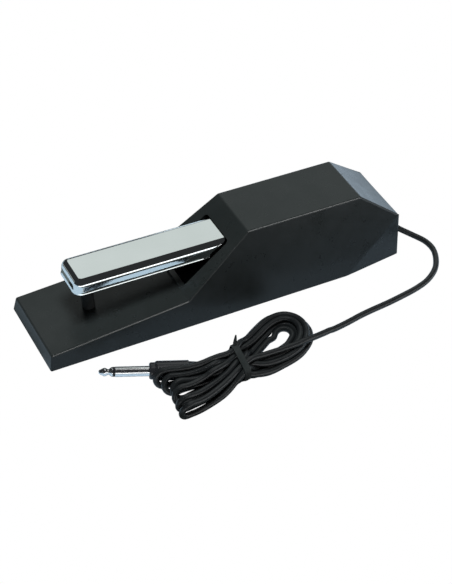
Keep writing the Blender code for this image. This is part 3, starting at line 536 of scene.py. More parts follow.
def wool_felt():
    look = Look("wool_felt", (0.16, 0.16, 0.17), roughness=0.95, specular=0.1, Sheen_Weight=0.4)
    fibres = look.noise(2200, 5.0, 0.8, (1, 0.3, 1))
    look.vary_colour(fibres, (0.10, 0.10, 0.11), (0.22, 0.22, 0.23))
    look.bump(fibres, 0.0003, 1.0)
    return look.material


def make_materials():
    return {
        "case_plastic": case_plastic(), "chrome_plate": chrome_plate(), "nickel_plate": nickel_plate(),
        "cord_rubber": cord_rubber(), "black_rubber": black_rubber(), "plug_plastic": plug_plastic(),
        "galvanised_steel": metal("galvanised_steel", (0.42, 0.44, 0.46), (0.56, 0.58, 0.6), (0.3, 0.5)),
        "zinc_steel": metal("zinc_steel", (0.55, 0.55, 0.53), (0.68, 0.68, 0.66), (0.2, 0.35)),
        "spring_steel": metal("spring_steel", (0.36, 0.36, 0.37), (0.48, 0.48, 0.49), (0.22, 0.4)),
        "brass": metal("brass", (0.62, 0.45, 0.18), (0.76, 0.58, 0.28), (0.22, 0.4)),
        "nylon": moulded("nylon", (0.68, 0.66, 0.58), (0.78, 0.76, 0.69)),
        "switch_plastic": moulded("switch_plastic", (0.02, 0.02, 0.022), (0.035, 0.035, 0.038)),
        "red_plastic": moulded("red_plastic", (0.42, 0.02, 0.015), (0.55, 0.035, 0.025), (0.3, 0.42)),
        "white_plastic": moulded("white_plastic", (0.70, 0.70, 0.68), (0.79, 0.79, 0.77), (0.3, 0.42)),
        "felt": wool_felt(),
    }


# ---------------- the lead

# Middle line of the rear lobe's outermost and innermost turns, as (x, y), from the tie's near side
# round to its far side
LOBE_OUTER = [
    (84.5, 113), (85.6, 122), (85.6, 131), (84.2, 141), (81.5, 149.5), (77, 156), (70, 161.5), (61.5, 164),
    (53.5, 162.5), (47.8, 157.5), (45.4, 150), (45.8, 141.5), (51.2, 130.5), (57, 121.5), (63, 113),
]
LOBE_INNER = [
    (79.5, 113), (78, 121), (76.5, 129), (75.5, 137), (74.3, 143.5), (71.5, 148.5), (67, 151.8),
    (61.5, 152.8), (56.5, 152.2), (54, 149.5), (57.3, 143.7), (62.5, 135.2), (67, 128), (69.8, 121.5),
    (71.3, 113.5),
]
LOBE_SHARES = [0.62, 0.42, 0.0, 0.5, 0.22, 1.0]  # how far each turn lies from the outermost to the innermost
LOBE_HEIGHTS = [0.5, 0.5, 0.5, 4.5, 4.5, 0.5]
# Front fan: each fold stands nearly on edge. Where its upper and lower strands lie at its end, how far it
# reaches, the height of the upper one, how the upper one bows on its way from the tie, and how far it goes
# round the plug's near side
FOLDS = [
    (99.8, 99.0, 53.2, 10.7, 1.5, 0), (93.5, 92.9, 54.2, 10.7, 1.5, 0), (84.9, 88.2, 55.2, 10.4, 1.5, 0),
    (77.9, 83.6, 56.9, 9.6, 0.5, 2.0), (71.6, 77.0, 53.8, 9.8, 0.6, 6.0), (67.3, 69.8, 51.5, 11.0, 0.7, 7.0),
]
# Where each strand passes the tie, as (x, z): towards the fan, and back out of it
IN_SLOTS = [(80.8, 8.7), (76.7, 8.7), (72.6, 8.7), (74.2, 5.0), (70.0, 5.0), (68.6, 8.7), (67.8, 1.6)]
OUT_SLOTS = [(86.4, 4.8), (84.6, 1.6), (82.6, 5.0), (80.4, 1.6), (78.4, 5.0), (76.2, 1.6)]
FAN_STEPS = (0.18, 0.36, 0.54, 0.72, 0.88)  # shares of the way from the tie to a fold's end
FOLD_ANGLES = (0, 45, 90, 135, 180)
SPREAD_START = 0.18  # a lower strand starts to spread this far from the tie


def hank_route():
    """Control points of the whole lead: each turn goes round its fold in the fan and then round the lobe."""
    points = LEAD_ROUTE + OVER_ROUTE
    for number in range(TURNS):
        upper_x, lower_x, end_y, upper_z, bow, round_plug = FOLDS[number]
        in_x, in_z = IN_SLOTS[number]
        out_x, out_z = OUT_SLOTS[number]
        low = FLOOR_Z + CORD_RADIUS
        half = Vector((lower_x - upper_x, low - upper_z)) / 2
        radius = half.length
        start_y = end_y + radius
        run = start_y - TIE_Y
        points = points + [(in_x, TIE_Y, in_z)]
        for t in FAN_STEPS:
            share = 1 - (1 - t) ** bow
            x = in_x + (upper_x - in_x) * share + round_plug * math.sin(math.pi * t ** 0.6)
            points.append((x, TIE_Y + run * t, in_z + (upper_z - in_z) * t * t + round_plug * t * (1 - t)))
        for angle in FOLD_ANGLES:
            turn = math.radians(angle)
            points.append(((upper_x + lower_x) / 2 - half.x * math.cos(turn),
                           start_y - radius * math.sin(turn),
                           (upper_z + low) / 2 - half.y * math.cos(turn)))
        for t in reversed(FAN_STEPS):
            share = 1 - (1 - max(t - SPREAD_START, 0) / (1 - SPREAD_START)) ** 2
            points.append((out_x + (lower_x - out_x) * share, TIE_Y + run * t,
                           low + (out_z - low) * (1 - t) ** 2))
        points.append((out_x, TIE_Y, out_z))
        inner = LOBE_SHARES[number]
        for (ax, ay), (bx, by) in zip(LOBE_OUTER, LOBE_INNER):
            points.append((ax + (bx - ax) * inner, ay + (by - ay) * inner, LOBE_HEIGHTS[number]))
    in_x, in_z = IN_SLOTS[TURNS]
    return points + [(in_x, TIE_Y, in_z)] + TAIL_ROUTE


def smooth_points(route, per_span):
    """Read a Catmull-Rom curve through the route's points."""
    points = np.array(route, float)
    padded = np.vstack([2 * points[0] - points[1], points, 2 * points[-1] - points[-2]])
    a, b, c, d = padded[:-3], padded[1:-2], padded[2:-1], padded[3:]
    rows = []
    for step in range(per_span):
        t = step / per_span
        rows.append(0.5 * (2 * b + (c - a) * t + (2 * a - 5 * b + 4 * c - d) * t ** 2
                           + (3 * b - a - 3 * c + d) * t ** 3))
    return np.vstack([np.stack(rows, 1).reshape(-1, 3), points[-1]])


def spaced(line, step):
    """The same line with points an even step apart."""
    along = np.concatenate([[0], np.cumsum(np.linalg.norm(np.diff(line, axis=0), axis=1))])
    at = np.linspace(0, along[-1], round(along[-1] / step) + 1)
    return np.stack([np.interp(at, along, line[:, k]) for k in range(3)], axis=1)


# How the lead settles, in millimetres, points along the cord and moves per step
SETTLE_STEPS = 400
PASSES = 3
ROUTE_STEP = 2.0  # distance between the points while it settles
DRAWN_STEP = 1.6
TIGHTEST_BEND = 5.4
BEND_SPANS = (2, 4, 6)
SMOOTHING = 0.15
WEIGHT = 0.02
HOLD_EARLY = 0.04  # share of the way back to the drawn route
HOLD_LATE = 0.01
EARLY_SHARE = 0.6
PAIR_REACH = 9.0  # strands this close are kept apart
PAIR_SKIP = 6  # nearer points along the cord are neighbours
PAIR_UPDATE = 8
BATCH = 200  # points tested at a time
HELD_BEHIND_Y = 172  # the lead stays as drawn up to here
HELD_AT_PLUG = 4
PLUG_POINTS = 14  # the cord's last points may lie in the plug's relief
TIE_REACH = 3.2
TIED_X = (66.2, 87.0)
TIED_Z = (1.4, 9.4)


def near_pairs(points, reach, skip):
    """Pairs of points within reach of each other that aren't neighbours along the cord."""
    found = []
    for start in range(0, len(points), BATCH):
        far = np.linalg.norm(points[start:start + BATCH, None] - points[None], axis=2)
        first, second = np.nonzero(far < reach)
        first = first + start
        keep = second - first >= skip
        found.append(np.stack([first[keep], second[keep]], 1))
    return np.vstack(found)


def push_apart(points, pairs, gap, free):
    """Move touching strands apart until they are a gap from each other."""
    away = points[pairs[:, 1]] - points[pairs[:, 0]]
    long = np.maximum(np.linalg.norm(away, axis=1), 1e-6)
    shift = (np.minimum(long - gap, 0) / long / 2)[:, None] * away
    moved, count = np.zeros_like(points), np.zeros(len(points))
    for column, sign in ((0, 1), (1, -1)):
        for axis in range(3):
            moved[:, axis] += np.bincount(pairs[:, column], sign * shift[:, axis], len(points))
        count += np.bincount(pairs[:, column], long < gap, len(points))
    return points + moved / np.maximum(count, 1)[:, None] * free[:, None]


def keep_length(points, free, rest):
    """Bring neighbouring points back to their distance along the cord."""
    number = np.arange(len(points))
    for odd in (0, 1):
        a = number[odd:-1:2]
        span = points[a + 1] - points[a]
        long = np.maximum(np.linalg.norm(span, axis=1), 1e-6)
        share = np.maximum(free[a] + free[a + 1], 1e-9)
        shift = ((long - rest) / long / share)[:, None] * span
        points[a] += shift * free[a][:, None]
        points[a + 1] -= shift * free[a + 1][:, None]


def keep_bends(points, free, rest):
    """Open each bend that is tighter than the tightest one, and smooth the line a little."""
    for skip in BEND_SPANS:
        chord = 2 * TIGHTEST_BEND * math.sin(skip * rest / (2 * TIGHTEST_BEND))
        span = points[skip:] - points[:-skip]
        long = np.maximum(np.linalg.norm(span, axis=1), 1e-6)
        shift = (np.minimum(long - chord, 0) / long / 4)[:, None] * span
        points[:-skip] += shift * free[:-skip][:, None]
        points[skip:] -= shift * free[skip:][:, None]
    middle = (points[:-2] + points[2:]) / 2
    points[1:-1] += (middle - points[1:-1]) * SMOOTHING * free[1:-1][:, None]


def keep_off_plug(points, loose):
    """Push strands out of the plug's barrel and relief."""
    axis = np.array([-math.sin(PLUG_TURN), math.cos(PLUG_TURN), 0])
    along = np.clip((points - PLUG_SHOULDER) @ axis, 0, PLUG_TAIL)
    middle = PLUG_SHOULDER + along[:, None] * axis
    away = points - middle
    far = np.linalg.norm(away, axis=1)
    clear = np.where(along < PLUG_BARREL_END, PLUG_BARREL, PLUG_RELIEF) + CORD_RADIUS
    inside = (far < clear) & loose
    points[inside] = middle[inside] + away[inside] * (clear / far)[inside, None]


def settle(points):
    """Let the tied lead come to rest under its weight: its length stays, no bend is too tight and its
    strands lie on the floor, on the plug and on each other."""
    start, count = points.copy(), len(points)
    rest = np.linalg.norm(points[1] - points[0])
    free = np.ones(count)
    free[:np.argmax(points[:, 1] < HELD_BEHIND_Y)] = 0
    free[-HELD_AT_PLUG:] = 0
    tied = (np.abs(start[:, 1] - TIE_Y) < TIE_REACH) & (free > 0)
    loose_of_plug = (free > 0) & (np.arange(count) < count - PLUG_POINTS)
    low = FLOOR_Z + CORD_RADIUS
    for step in range(SETTLE_STEPS):
        if step % PAIR_UPDATE == 0:
            pairs = near_pairs(points, PAIR_REACH, PAIR_SKIP)
        hold = HOLD_EARLY if step < EARLY_SHARE * SETTLE_STEPS else HOLD_LATE
        pull = (start - points) * np.array([hold, hold, HOLD_LATE]) + np.array([0, 0, -WEIGHT])
        points = points + pull * free[:, None]
        for _ in range(PASSES):
            keep_length(points, free, rest)
            keep_bends(points, free, rest)
            points = push_apart(points, pairs, 2 * CORD_RADIUS, free)
            keep_off_plug(points, loose_of_plug)
            points[tied, 0] = np.clip(points[tied, 0], *TIED_X)
            points[tied, 2] = np.clip(points[tied, 2], *TIED_Z)
            points[:, 2] = np.where(free > 0, np.maximum(points[:, 2], low), points[:, 2])
    return points


def make_lead(looks):
    line = settle(spaced(smooth_points(hank_route(), per_span=12), ROUTE_STEP))
    line = spaced(smooth_points(line, per_span=3), DRAWN_STEP)
    curve = bpy.data.curves.new("lead", "CURVE")
    curve.dimensions = "3D"
    curve.bevel_depth = CORD_RADIUS * MM
    curve.bevel_resolution = 5
    curve.use_fill_caps = True
    spline = curve.splines.new("POLY")
    spline.points.add(len(line) - 1)
    for point, co in zip(spline.points, line):
        point.co = (*(Vector(co) * MM + ORIGIN), 1)
    spline.use_smooth = True
    lead = link("lead", curve)
    dress(lead, looks, "cord_rubber", "housing", "cord_lead", "cord_hank", "cord_tail")
    return lead, line


def tie_section():
    """The strip's cross-section, with the wire's ridge along its middle, as (outwards, along the cord)."""
    half = TIE_WIDTH / 2
    ridge_half, ridge_top_half, ridge = TIE_WIRE
    upper = [(TIE_THICKNESS - TIE_EDGE, half), (TIE_THICKNESS, half - TIE_EDGE), (TIE_THICKNESS, ridge_half),
             (TIE_THICKNESS + ridge, ridge_top_half)]
    mirrored = [(out, -along) for out, along in reversed(upper)]
    return [(TIE_GAP, -half), (TIE_GAP, half)] + upper + mirrored


def make_tie(looks, line):
    """A flat strip drawn tight round the strands, with its two ends twisted together on top."""
    near = line[np.abs(line[:, 1] - TIE_Y) < TIE_WIDTH / 2 + 0.5][:, [0, 2]]
    hull = []
    for step in range(TIE_STEPS):
        angle = 2 * math.pi * step / TIE_STEPS
        away = np.array([math.cos(angle), math.sin(angle)])
        hull.append((near[(near @ away).argmax()] + away * CORD_RADIUS, away))
    middle = (near[:, 0].min() + near[:, 0].max()) / 2
    section = tie_section()
    bm = bmesh.new()
    rings = []
    for (x, z), away in hull:
        slant = TIE_SLANT * (middle - x)
        ring = []
        for out, along in section:
            low = max(z + away[1] * out, FLOOR_Z)
            ring.append(bm.verts.new(Vector((x + away[0] * out, TIE_Y + slant + along, low)) * MM))
        rings.append(ring)
    skin(bm, rings + rings[:1])
    root = Vector((near[:, 0].min() + 1.2, TIE_Y + TIE_SLANT * 9, near[:, 1].max() + CORD_RADIUS + 0.3))
    for strip in (0, 1):
        twisted_end(bm, root, TIE_END_WAY, math.pi * strip / 2)
    tie = shade(place(link("twist_tie", finish_mesh(bm, "twist_tie"))), 40)
    return dress(tie, looks, "black_rubber", "housing", "cord_tie")


def twisted_end(bm, root, way, phase):
    """One of the two strips of the tie's twisted end, tapering to a point."""
    side = way.orthogonal().normalized()
    other = way.cross(side)
    half_width, half_thickness = TIE_END_HALF
    rings = []
    for step in range(TIE_END_STEPS + 1):
        t = step / TIE_END_STEPS
        angle = phase + 2 * math.pi * TIE_END_TURNS * t
        across = side * math.cos(angle) + other * math.sin(angle)
        normal = way.cross(across) * half_thickness
        across = across * (half_width * (1 - 0.75 * t * t))
        middle = root + way * (TIE_END_LENGTH * t)
        corners = [middle - across - normal, middle + across - normal,
                   middle + across + normal, middle - across + normal]
        rings.append([bm.verts.new(corner * MM) for corner in corners])
    skin(bm, rings)
    close_ends(bm, rings)


def dress(obj, looks, slot, body, *nodes):
    """Give a piece its material and its body, and hide the CAD nodes that it stands for."""
    obj.data.materials.clear()
    obj.data.materials.append(looks[slot])
    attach(obj, body)
    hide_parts(*nodes)
    return obj


# ---------------- case and base

def case_profile():
    """Side view of the case, anticlockwise, as (y, z)."""
    return [(0, 0), (LENGTH, 0), REAR_EDGE, TOP_REAR, TOP_FRONT, DECK_REAR, DECK_FRONT]


def trim(bm, point, normal):
    """Cut away what lies beyond a plane and close the cut."""
    everything = bm.verts[:] + bm.edges[:] + bm.faces[:]
    bmesh.ops.bisect_plane(bm, geom=everything, plane_co=point, plane_no=normal, clear_outer=True)
    rim = [edge for edge in bm.edges if edge.is_boundary]
    bmesh.ops.contextual_create(bm, geom=rim)


def case_body(inset, lower_inset):
    """The case's outer form, moved inwards by inset, with an inset of its own on the lower face."""
    sides = [lower_inset] + [inset] * 6
    bm = prism_bmesh(inset_outline(case_profile(), sides), "X", -2 * HALF_WIDTH, 2 * HALF_WIDTH)
    for side in (1, -1):
        lean = Vector((side, 0, SIDE_DRAFT)).normalized()
        trim(bm, Vector((side * HALF_WIDTH, 0, 0)) - lean * inset, lean)
        start = Vector((side * HALF_WIDTH, CHAMFER_START_Y, 0))
        foot = Vector((side * CHAMFER_END_X, LENGTH, 0))
        peak = Vector((side * (HALF_WIDTH - SIDE_DRAFT * REAR_EDGE[1]), *REAR_EDGE))
        outward = (foot - start).cross(peak - start).normalized() * side
        trim(bm, start - outward * inset, outward)
    return bm


def roof_height(y):
    """Height of the case's outer face above a point on its length."""
    roof = case_profile()[2:]
    for (rear_y, rear_z), (front_y, front_z) in zip(roof, roof[1:]):
        if front_y <= y <= rear_y:
            return front_z + (rear_z - front_z) * (y - front_y) / (rear_y - front_y)
    return roof[-1][1]


def deck_angle():
    return math.atan2(DECK_REAR[1] - DECK_FRONT[1], DECK_REAR[0] - DECK_FRONT[0])


def stop_matrix():
    """Where the bump stop's axis meets the deck, square to it."""
    height = DECK_FRONT[1] + (STOP_Y - DECK_FRONT[0]) * math.tan(deck_angle())
    return Matrix.Translation((0, STOP_Y, height)) @ Matrix.Rotation(deck_angle(), 4, "X")


def base_screw_places():
    return [(side * x, y) for x, y in BASE_SCREWS for side in (-1, 1)]


def moved(mesh, matrix):
    mesh.transform(matrix)
    return mesh


def cylinder(radius, low, high, segments=48):
    return turned([(0, low), (radius, low), (radius, high), (0, high)], segments)


def soften_slot(case):
    """Round the slot's rim on the case's sloping face."""
    bm = bmesh.new()
    bm.from_mesh(case.data)
    slope = Vector((0, TOP_FRONT[0] - DECK_REAR[0], TOP_FRONT[1] - DECK_REAR[1])).normalized()
    normal = Vector((0, -slope.z, slope.y))
    base = Vector((0, *DECK_REAR))
    reach = SLOT_HALF_WIDTH + 0.1 * MM

    def at_rim(co):
        on_slope = abs((co - base).dot(normal)) < 0.02 * MM
        return on_slope and abs(co.x) < reach and SLOT_BOTTOM - 0.1 * MM < co.z < SLOT_TOP + MM

    def on_rim(edge):
        return all(at_rim(vertex.co) for vertex in edge.verts)

    edges = [edge for edge in bm.edges if on_rim(edge) and edge.calc_face_angle(0) > math.radians(20)]
    bmesh.ops.bevel(bm, geom=edges, offset=SLOT_LIP, segments=4, profile=0.5,
                    affect="EDGES", clamp_overlap=True)
    bm.to_mesh(case.data)
    bm.free()


def make_case(looks):
    outer = case_body(0, 0)
    round_edges(outer, EDGE_RADIUS, 5, lambda edge: max(v.co.z for v in edge.verts) > MM)
    round_edges(outer, 0.4 * MM, 2, lambda edge: max(v.co.z for v in edge.verts) < 0.01 * MM)
    case = link("case_shell", finish_mesh(outer, "case_shell"))
    boolean(case, finish_mesh(case_body(WALL, -MM), "hollow"))
    slot = rounded_rectangle((-SLOT_HALF_WIDTH, SLOT_BOTTOM), (SLOT_HALF_WIDTH, SLOT_TOP), SLOT_CORNER)
    boolean(case, prism(slot, "Y", DECK_REAR[0] - 8 * MM, SLOT_DEPTH_Y))
    soften_slot(case)
    rib = rounded_rectangle(*RIB_PLAN, 0.5 * MM)
    boolean(case, prism(rib, "Z", RIB_BOTTOM, TOP_FRONT[1] - WALL / 2), "UNION")
    for x, y in base_screw_places():
        top = min(roof_height(y - BOSS_RADIUS), roof_height(y + BOSS_RADIUS)) - 0.4 * WALL
        there = Matrix.Translation((x, y, 0))
        boolean(case, moved(cylinder(BOSS_RADIUS, BOSS_BOTTOM, top, 32), there), "UNION")
        boolean(case, moved(cylinder(SCREW_HOLE, 0, BOSS_HOLE_DEPTH, 24), there))
    notch = [(EXIT[0] * MM - NOTCH_RADIUS, -2 * MM), (EXIT[0] * MM + NOTCH_RADIUS, -2 * MM)]
    notch += arc((EXIT[0] * MM, EXIT[2] * MM), NOTCH_RADIUS, 0, 180, 24)
    boolean(case, prism(notch, "Y", LENGTH + NOTCH_SPAN[0], LENGTH + NOTCH_SPAN[1]))
    boolean(case, moved(cylinder(STOP_HOLE, *STOP_HOLE_SPAN, 32), stop_matrix()))
    dress(shade(place(case), 30), looks, "case_plastic", "housing", "upper_case")


def make_bump_stop(looks):
    points = [(0, -4.8), (2.4, -4.8), (3.2, -4.2), (3.2, -2.8), (2.0, -2.8), (2.0, 0.05), (4.2, 0.05),
              (4.0, 14.8), (3.4, 16.0), (0, 16.0)]
    radii = [0, 0.2, 0.2, 0, 0, 0.3, 1.0, 0.5]
    stop = link("stop_post", moved(lathe(points, radii, 56), stop_matrix()))
    dress(shade(place(stop)), looks, "black_rubber", "housing", "bump_stop")


def make_feet(looks):
    points = [(0, -1.1), (3.2, -1.1), (3.6, -1.5), (7.0, -1.5), (7.0, -0.1), (0, -0.1)]
    radii = [0.15, 0.15, 0.5, 0.2]
    for end, (x, y) in zip(("front", "rear"), FEET):
        for side, sign in (("left", -1), ("right", 1)):
            there = Matrix.Translation((sign * x, y, 0))
            foot = link(f"foot_{end}_{side}", moved(lathe(points, radii, 64), there))
            dress(shade(place(foot)), looks, "black_rubber", "housing", f"rubber_foot_{end}_{side}")


def cross_recess(width, length, low, high):
    """A cutter for a screw's cross slot."""
    bm = bmesh.new()
    for x, y in ((width, length), (length, width)):
        bm.from_mesh(prism([(-x, -y), (x, -y), (x, y), (-x, y)], "Z", low, high))
    return finish_mesh(bm, "cross")


def make_base_screws(looks):
    points = [(0, 0.2), (3.1, 0.2), (3.1, 0.5), (1.5, 1.9), (1.5, 6.5), (0.6, 7.5), (0, 7.5)]
    radii = [0.15, 0.1, 0.2, 0.3, 0.1]
    for number, (x, y) in enumerate(base_screw_places(), 1):
        screw = link(f"case_screw_{number}", lathe(points, radii, 40, steps=3))
        boolean(screw, cross_recess(0.32 * MM, 1.45 * MM, -MM, 1.3 * MM))
        screw.data.transform(Matrix.Translation((x, y, 0)) @ Matrix.Rotation(0.7 * number, 4, "Z"))
        dress(shade(place(screw)), looks, "zinc_steel", "housing", f"base_screw_{number}")


# ---------------- pedal

def pedal_matrix():
    """From the pedal's own coordinates, about its hinge, to the case's."""
    return Matrix.Translation(HINGE) @ Matrix.Rotation(-REST_TILT, 4, "X")


def pedal_outline(inset, tail_y):
    """Plan of the pedal about its hinge, anticlockwise from the tail."""
    half = PEDAL_HALF_WIDTH - inset
    toe = PEDAL_TOE_Y + inset
    corner = TOE_CORNER - inset
    left = arc((-half + corner, toe + corner), corner, 180, 270, 12)
    right = arc((half - corner, toe + corner), corner, 270, 360, 12)
    return [(half, tail_y), (-half, tail_y)] + left + right


def rolled_bar(levels, tail_y):
    """The pedal's plan, stacked up at levels of (inset, height)."""
    bm = bmesh.new()
    rings = [[bm.verts.new((x, y, z)) for x, y in pedal_outline(inset, tail_y)] for inset, z in levels]
    skin(bm, rings)
    close_ends(bm, rings)
    return finish_mesh(bm, "rolled_bar")


def roll_levels(inset, top):
    """From the side to the top face. inset is how far inside the pedal's outline the side stands."""
    roll = BULLNOSE - inset
    return [(inset + roll - x, top - roll + z) for x, z in arc((0, 0), roll, 0, 90, 20)]


def outer_levels():
    """The lower edge, the flare above it and the rolled top rim."""
    low = PEDAL_TOP - PEDAL_DEPTH
    lip = [(PEDAL_LIP - x, low + PEDAL_LIP + z) for x, z in arc((0, 0), PEDAL_LIP, 270, 360, 5)]
    lean = math.degrees(math.acos(1 - FLARE_IN / FLARE_RADIUS))
    top = low + PEDAL_LIP + 0.1 * MM + FLARE_RADIUS * math.sin(math.radians(lean))
    flare = [(FLARE_IN - (FLARE_RADIUS - x), top + z) for x, z in arc((0, 0), FLARE_RADIUS, -lean, 0, 10)]
    return lip + flare + roll_levels(FLARE_IN, PEDAL_TOP)


def make_pedal(looks):
    low = PEDAL_TOP - PEDAL_DEPTH
    pedal = link("pedal_bar", rolled_bar(outer_levels(), PEDAL_TAIL_Y))
    half, height = EAR_ROOT
    ear = arc((0, 0), EAR_RADIUS, 180, 360, 24) + [(half, low + height), (-half, low + height)]
    boolean(pedal, prism(ear, "X", -PEDAL_HALF_WIDTH, PEDAL_HALF_WIDTH), "UNION")
    hollow = PEDAL_SHEET + FLARE_IN
    levels = [(hollow, -2 * EAR_RADIUS)] + roll_levels(hollow, PEDAL_TOP - PEDAL_SHEET)
    boolean(pedal, rolled_bar(levels, PEDAL_TAIL_Y + 5 * MM))
    along_pin = Matrix.Rotation(math.pi / 2, 4, "Y")
    boolean(pedal, moved(cylinder(BUSH_HOLE, -THROUGH / 2, THROUGH / 2), along_pin))
    for y in PEDAL_SCREWS_Y:
        boolean(pedal, moved(cylinder(SCREW_HOLE, 0, THROUGH / 2, 32), Matrix.Translation((0, y, 0))))
    pedal.data.transform(pedal_matrix())
    dress(shade(place(pedal), 30), looks, "chrome_plate", "pedal", "pedal_plate")


def make_spring(looks):
    """The compression spring, with a closed turn at each end."""
    closed = 2 * SPRING_WIRE
    rise = SPRING_TOP - SPRING_BOTTOM - 2 * SPRING_WIRE
    steps = 40
    slope = (rise - 2 * closed) / (SPRING_TURNS - 2)
    points = []
    for step in range(round(SPRING_TURNS * steps) + 1):
        turn = step / steps
        open_turns = min(max(turn - 1, 0), SPRING_TURNS - 2)
        height = closed * (turn - open_turns) + slope * open_turns
        angle = 2 * math.pi * turn
        points.append((SPRING_RADIUS * math.cos(angle), SPRING_Y + SPRING_RADIUS * math.sin(angle),
                       SPRING_BOTTOM + SPRING_WIRE + height))
    spring = shade(place(link("coil_spring", tube_mesh(points, SPRING_WIRE, 14, "coil_spring"))))
    dress(spring, looks, "spring_steel", "housing", "return_spring")
    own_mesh(spring)


# ---------------- plug and strain relief

# Turned pieces along the plug's own axis, with 0 at the barrel's front shoulder: slot, replaced node, profile
# as (radius, place) and the rounding of each inner point
PLUG_PIECES = {
    "jack_tip": (
        "nickel_plate", "plug_tip",
        [(0, -31), (1.1, -30.9), (2.6, -27.7), (2.6, -26.9), (1.75, -25.2), (1.75, -24.7),
        (2.95, -23.1), (2.95, -22.45), (0, -22.45)], [0.5, 0.6, 0.3, 0.3, 0.25, 0.3, 0.1]),
    "jack_ring": (
        "plug_plastic", "plug_insulator",
        [(0, -22.45), (3.05, -22.45), (3.05, -20.85), (0, -20.85)], [0.15, 0.15]),
    "jack_sleeve": (
        "nickel_plate", "plug_sleeve",
        [(0, -20.85), (3.175, -20.85), (3.175, 0), (0, 0)], [0.15, 0]),
    "jack_collar": (
        "plug_plastic", "plug_collar",
        [(0, 0), (4.7, 0), (5.3, 0.8), (5.3, 3.5), (0, 3.5)], [0.3, 0.4, 0.1]),
    "jack_barrel": (
        "plug_plastic", "plug_barrel",
        [(0, 3.5), (5.5, 3.5), (6.2, 4.5), (6.2, 24.3), (0, 24.3)], [0.3, 0.6, 0.45]),
    "jack_relief": (
        "cord_rubber", "plug_relief",
        [(0, 24.3), (5.5, 24.3), (5.0, 31.5), (0, 31.5)], [0.35, 0.35]),
    "jack_tail": (
        "cord_rubber", "plug_tail",
        [(0, 31.5), (5.6, 31.5), (5.4, 36.4), (4.6, 37.7), (0, 37.7)], [0.4, 0.8, 0.4]),
}


def make_plug(looks):
    turn = Matrix.Translation(Vector(PLUG_SHOULDER) * MM) @ Matrix.Rotation(PLUG_TURN, 4, "Z")
    made = []
    for name, (slot, node, points, radii) in PLUG_PIECES.items():
        piece = link(name, moved(lathe(points, radii, 64, "Y"), turn))
        made.append(dress(shade(place(piece), 40), looks, slot, "housing", node))
    return made


def make_strain_relief(looks):
    points = [(0, 251.5), (3.7, 251.5), (3.7, 253.4), (3.4, 253.4), (3.4, 257.05), (4.4, 257.05),
              (4.4, 258.9), (3.3, 258.9), (2.9, 261.5), (0, 261.5)]
    radii = [0.2, 0.1, 0, 0, 0.1, 0.5, 0.1, 0.5]
    there = Matrix.Translation((EXIT[0] * MM, 0, EXIT[2] * MM))
    relief = link("exit_grommet", moved(lathe(points, radii, 48, "Y"), there))
    return dress(shade(place(relief), 40), looks, "cord_rubber", "housing", "strain_relief")


# ---------------- stage

def make_floor():
    """A floor that the camera sees as plain white. Reflections and bounced light see it dark, as painted
    shade, but for a paler band along the case's right side and a paler front, which are painted light, and a
    painted glow behind that only reflections see."""
    mesh = bpy.data.meshes.new("floor")
    corners = [(x * FLOOR_HALF, y * FLOOR_HALF, 0) for x, y in ((-1, -1), (1, -1), (1, 1), (-1, 1))]
    mesh.from_pydata(corners, [], [(0, 1, 2, 3)])
    floor = link("floor", mesh)
    look = Look("floor", (0.82, 0.82, 0.82), roughness=0.9)
    split = look.node("ShaderNodeSeparateXYZ")
    look.join(look.place, split.inputs["Vector"])
    rays = look.node("ShaderNodeLightPath")
    # Painted light and shade for reflections and bounced light: a paler band beside the case's right side and
    # a paler front, dark elsewhere
    off_band = look.math("ABSOLUTE", look.math("SUBTRACT", split.outputs["X"], PAINTED_BAND_X))
    beside = look.ramp(off_band, 1, 0, *PAINTED_BAND_FADE)
    front = look.ramp(split.outputs["Y"], 0, 1, *PAINTED_FRONT_FADE)
    painted_light_mask = look.math("MAXIMUM", beside, front)
    look.vary_colour(painted_light_mask, (0.07, 0.08, 0.08), (0.30, 0.36, 0.43), 0, 1)
    # Painted glow on the floor behind the case, seen only in reflections
    behind = look.ramp(split.outputs["Y"], 0, REAR_EMISSION, *REAR_FADE)
    look.set("Emission Color", (0.66, 0.82, 1.0, 1))
    glossy_only = look.math("MULTIPLY", behind, rays.outputs["Is Glossy Ray"])
    look.join(glossy_only, look.shader.inputs["Emission Strength"])
    glow = look.node("ShaderNodeEmission")
    mix = look.node("ShaderNodeMixShader")
    look.join(rays.outputs["Is Camera Ray"], mix.inputs["Fac"])
    look.join(look.shader.outputs[0], mix.inputs[1])
    look.join(glow.outputs[0], mix.inputs[2])
    look.join(mix.outputs[0], look.tree.nodes["Material Output"].inputs["Surface"])
    mesh.materials.append(look.material)


def softbox(name, spot, facing, size, radiance, colour=(1, 1, 1)):
    """A rectangular light that the camera doesn't see. facing points away from what it lights."""
    data = bpy.data.lights.new(name, "AREA")
    data.shape = "RECTANGLE"
    data.size, data.size_y = size
    data.energy = radiance * math.pi * size[0] * size[1]
    data.color = colour
    made = link(name, data)
    made.location = spot
    made.rotation_euler = Vector(facing).to_track_quat("Z", "Y").to_euler()
    made.visible_camera = False
    return made


def panel(name, direction, distance, size, radiance, glossy=True, colour=(1, 1, 1)):
    """A softbox that faces the pedal from a direction."""
    direction = Vector(direction).normalized()
    made = softbox(name, LIGHT_TARGET + direction * distance, direction, size, radiance, colour)
    made.visible_glossy = glossy
    return made


def linked_card(name, spot, facing, size, radiance, *receivers):
    """A softbox that only shows as a reflection, and only in a few pieces."""
    card = softbox(name, spot, facing, size, radiance)
    card.visible_diffuse = False
    lit = bpy.data.collections.new(name)
    for receiver in receivers:
        lit.objects.link(bpy.data.objects[receiver])
    card.light_linking.receiver_collection = lit


def make_cards():
    linked_card("edge_card", (0.71, 0.3, 0.66), (0.68, 0.37, 0.63), (0.9, 0.35), 12, "case_shell")
    linked_card("cord_card", (0.07, 0.12, 0.62), (0, 0.2, 1), (0.3, 0.3), 1.3, "lead",
                "jack_tip", "jack_sleeve", "jack_collar", "jack_barrel", "jack_relief", "jack_tail")


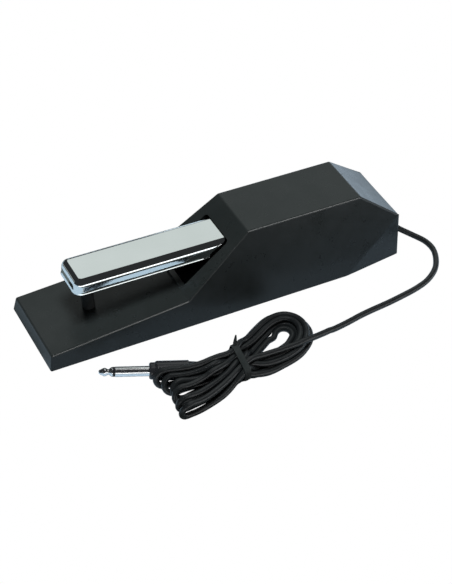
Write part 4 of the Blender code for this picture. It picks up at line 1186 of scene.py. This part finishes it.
def make_world():
    """White behind the object for the camera, and nearly black for everything else."""
    world = bpy.data.worlds.new("studio")
    bpy.context.scene.world = world
    world.use_nodes = True
    tree = world.node_tree
    dim = tree.nodes["Background"]
    dim.inputs["Color"].default_value = (0.9, 0.95, 1.0, 1)
    dim.inputs["Strength"].default_value = 0.03
    plain = tree.nodes.new("ShaderNodeBackground")
    plain.inputs["Color"].default_value = (1, 1, 1, 1)
    rays = tree.nodes.new("ShaderNodeLightPath")
    mix = tree.nodes.new("ShaderNodeMixShader")
    tree.links.new(rays.outputs["Is Camera Ray"], mix.inputs["Fac"])
    tree.links.new(dim.outputs[0], mix.inputs[1])
    tree.links.new(plain.outputs[0], mix.inputs[2])
    tree.links.new(mix.outputs[0], tree.nodes["World Output"].inputs["Surface"])


def make_lights():
    panel("rear_softbox", (-0.628, 0.379, 0.68), 1.6, (1.5, 1.1), 0.72, colour=(0.93, 1.0, 0.98))
    panel("backdrop", (-0.63, 0.77, 0.08), 2.2, (2.6, 0.8), 1.1, colour=(0.8, 0.92, 1.0))
    panel("toe_card", (-0.63, -0.75, 0.12), 1.8, (0.8, 0.28), 0.3, colour=(0.92, 1.0, 0.96))
    strip = panel("side_strip", (1.0, 0.25, 0.08), 0.22, (1.4, 0.065), 1.9)
    strip.visible_diffuse = False
    panel("far_card", (0.45, 0.85, 0.35), 2.2, (1.4, 0.9), 0.5)
    panel("overhead", (0.07, -0.1, 0.99), 1.6, (0.6, 0.6), 42, glossy=False, colour=(0.93, 1.0, 1.0))
    panel("front_key", (-0.4, -0.8, 0.4), 1.8, (0.7, 0.7), 2.6, glossy=False, colour=(0.93, 1.0, 1.0))


# ---------------- build

def main():
    make_camera()
    looks = make_materials()
    lead, line = make_lead(looks)
    on_lead = make_plug(looks) + [make_strain_relief(looks), make_tie(looks, line)]
    make_case(looks)
    make_bump_stop(looks)
    make_feet(looks)
    make_base_screws(looks)
    make_pedal(looks)
    make_spring(looks)
    slots = {part["node"]: part["material_slot"] for part in frame["record"]["subparts"]}
    for name, node in frame["nodes"].items():
        node.data.materials.clear()
        node.data.materials.append(looks[slots[name]])
    make_floor()
    make_world()
    make_lights()
    make_cards()
    bpy.context.scene.view_settings.view_transform = "Standard"


main()
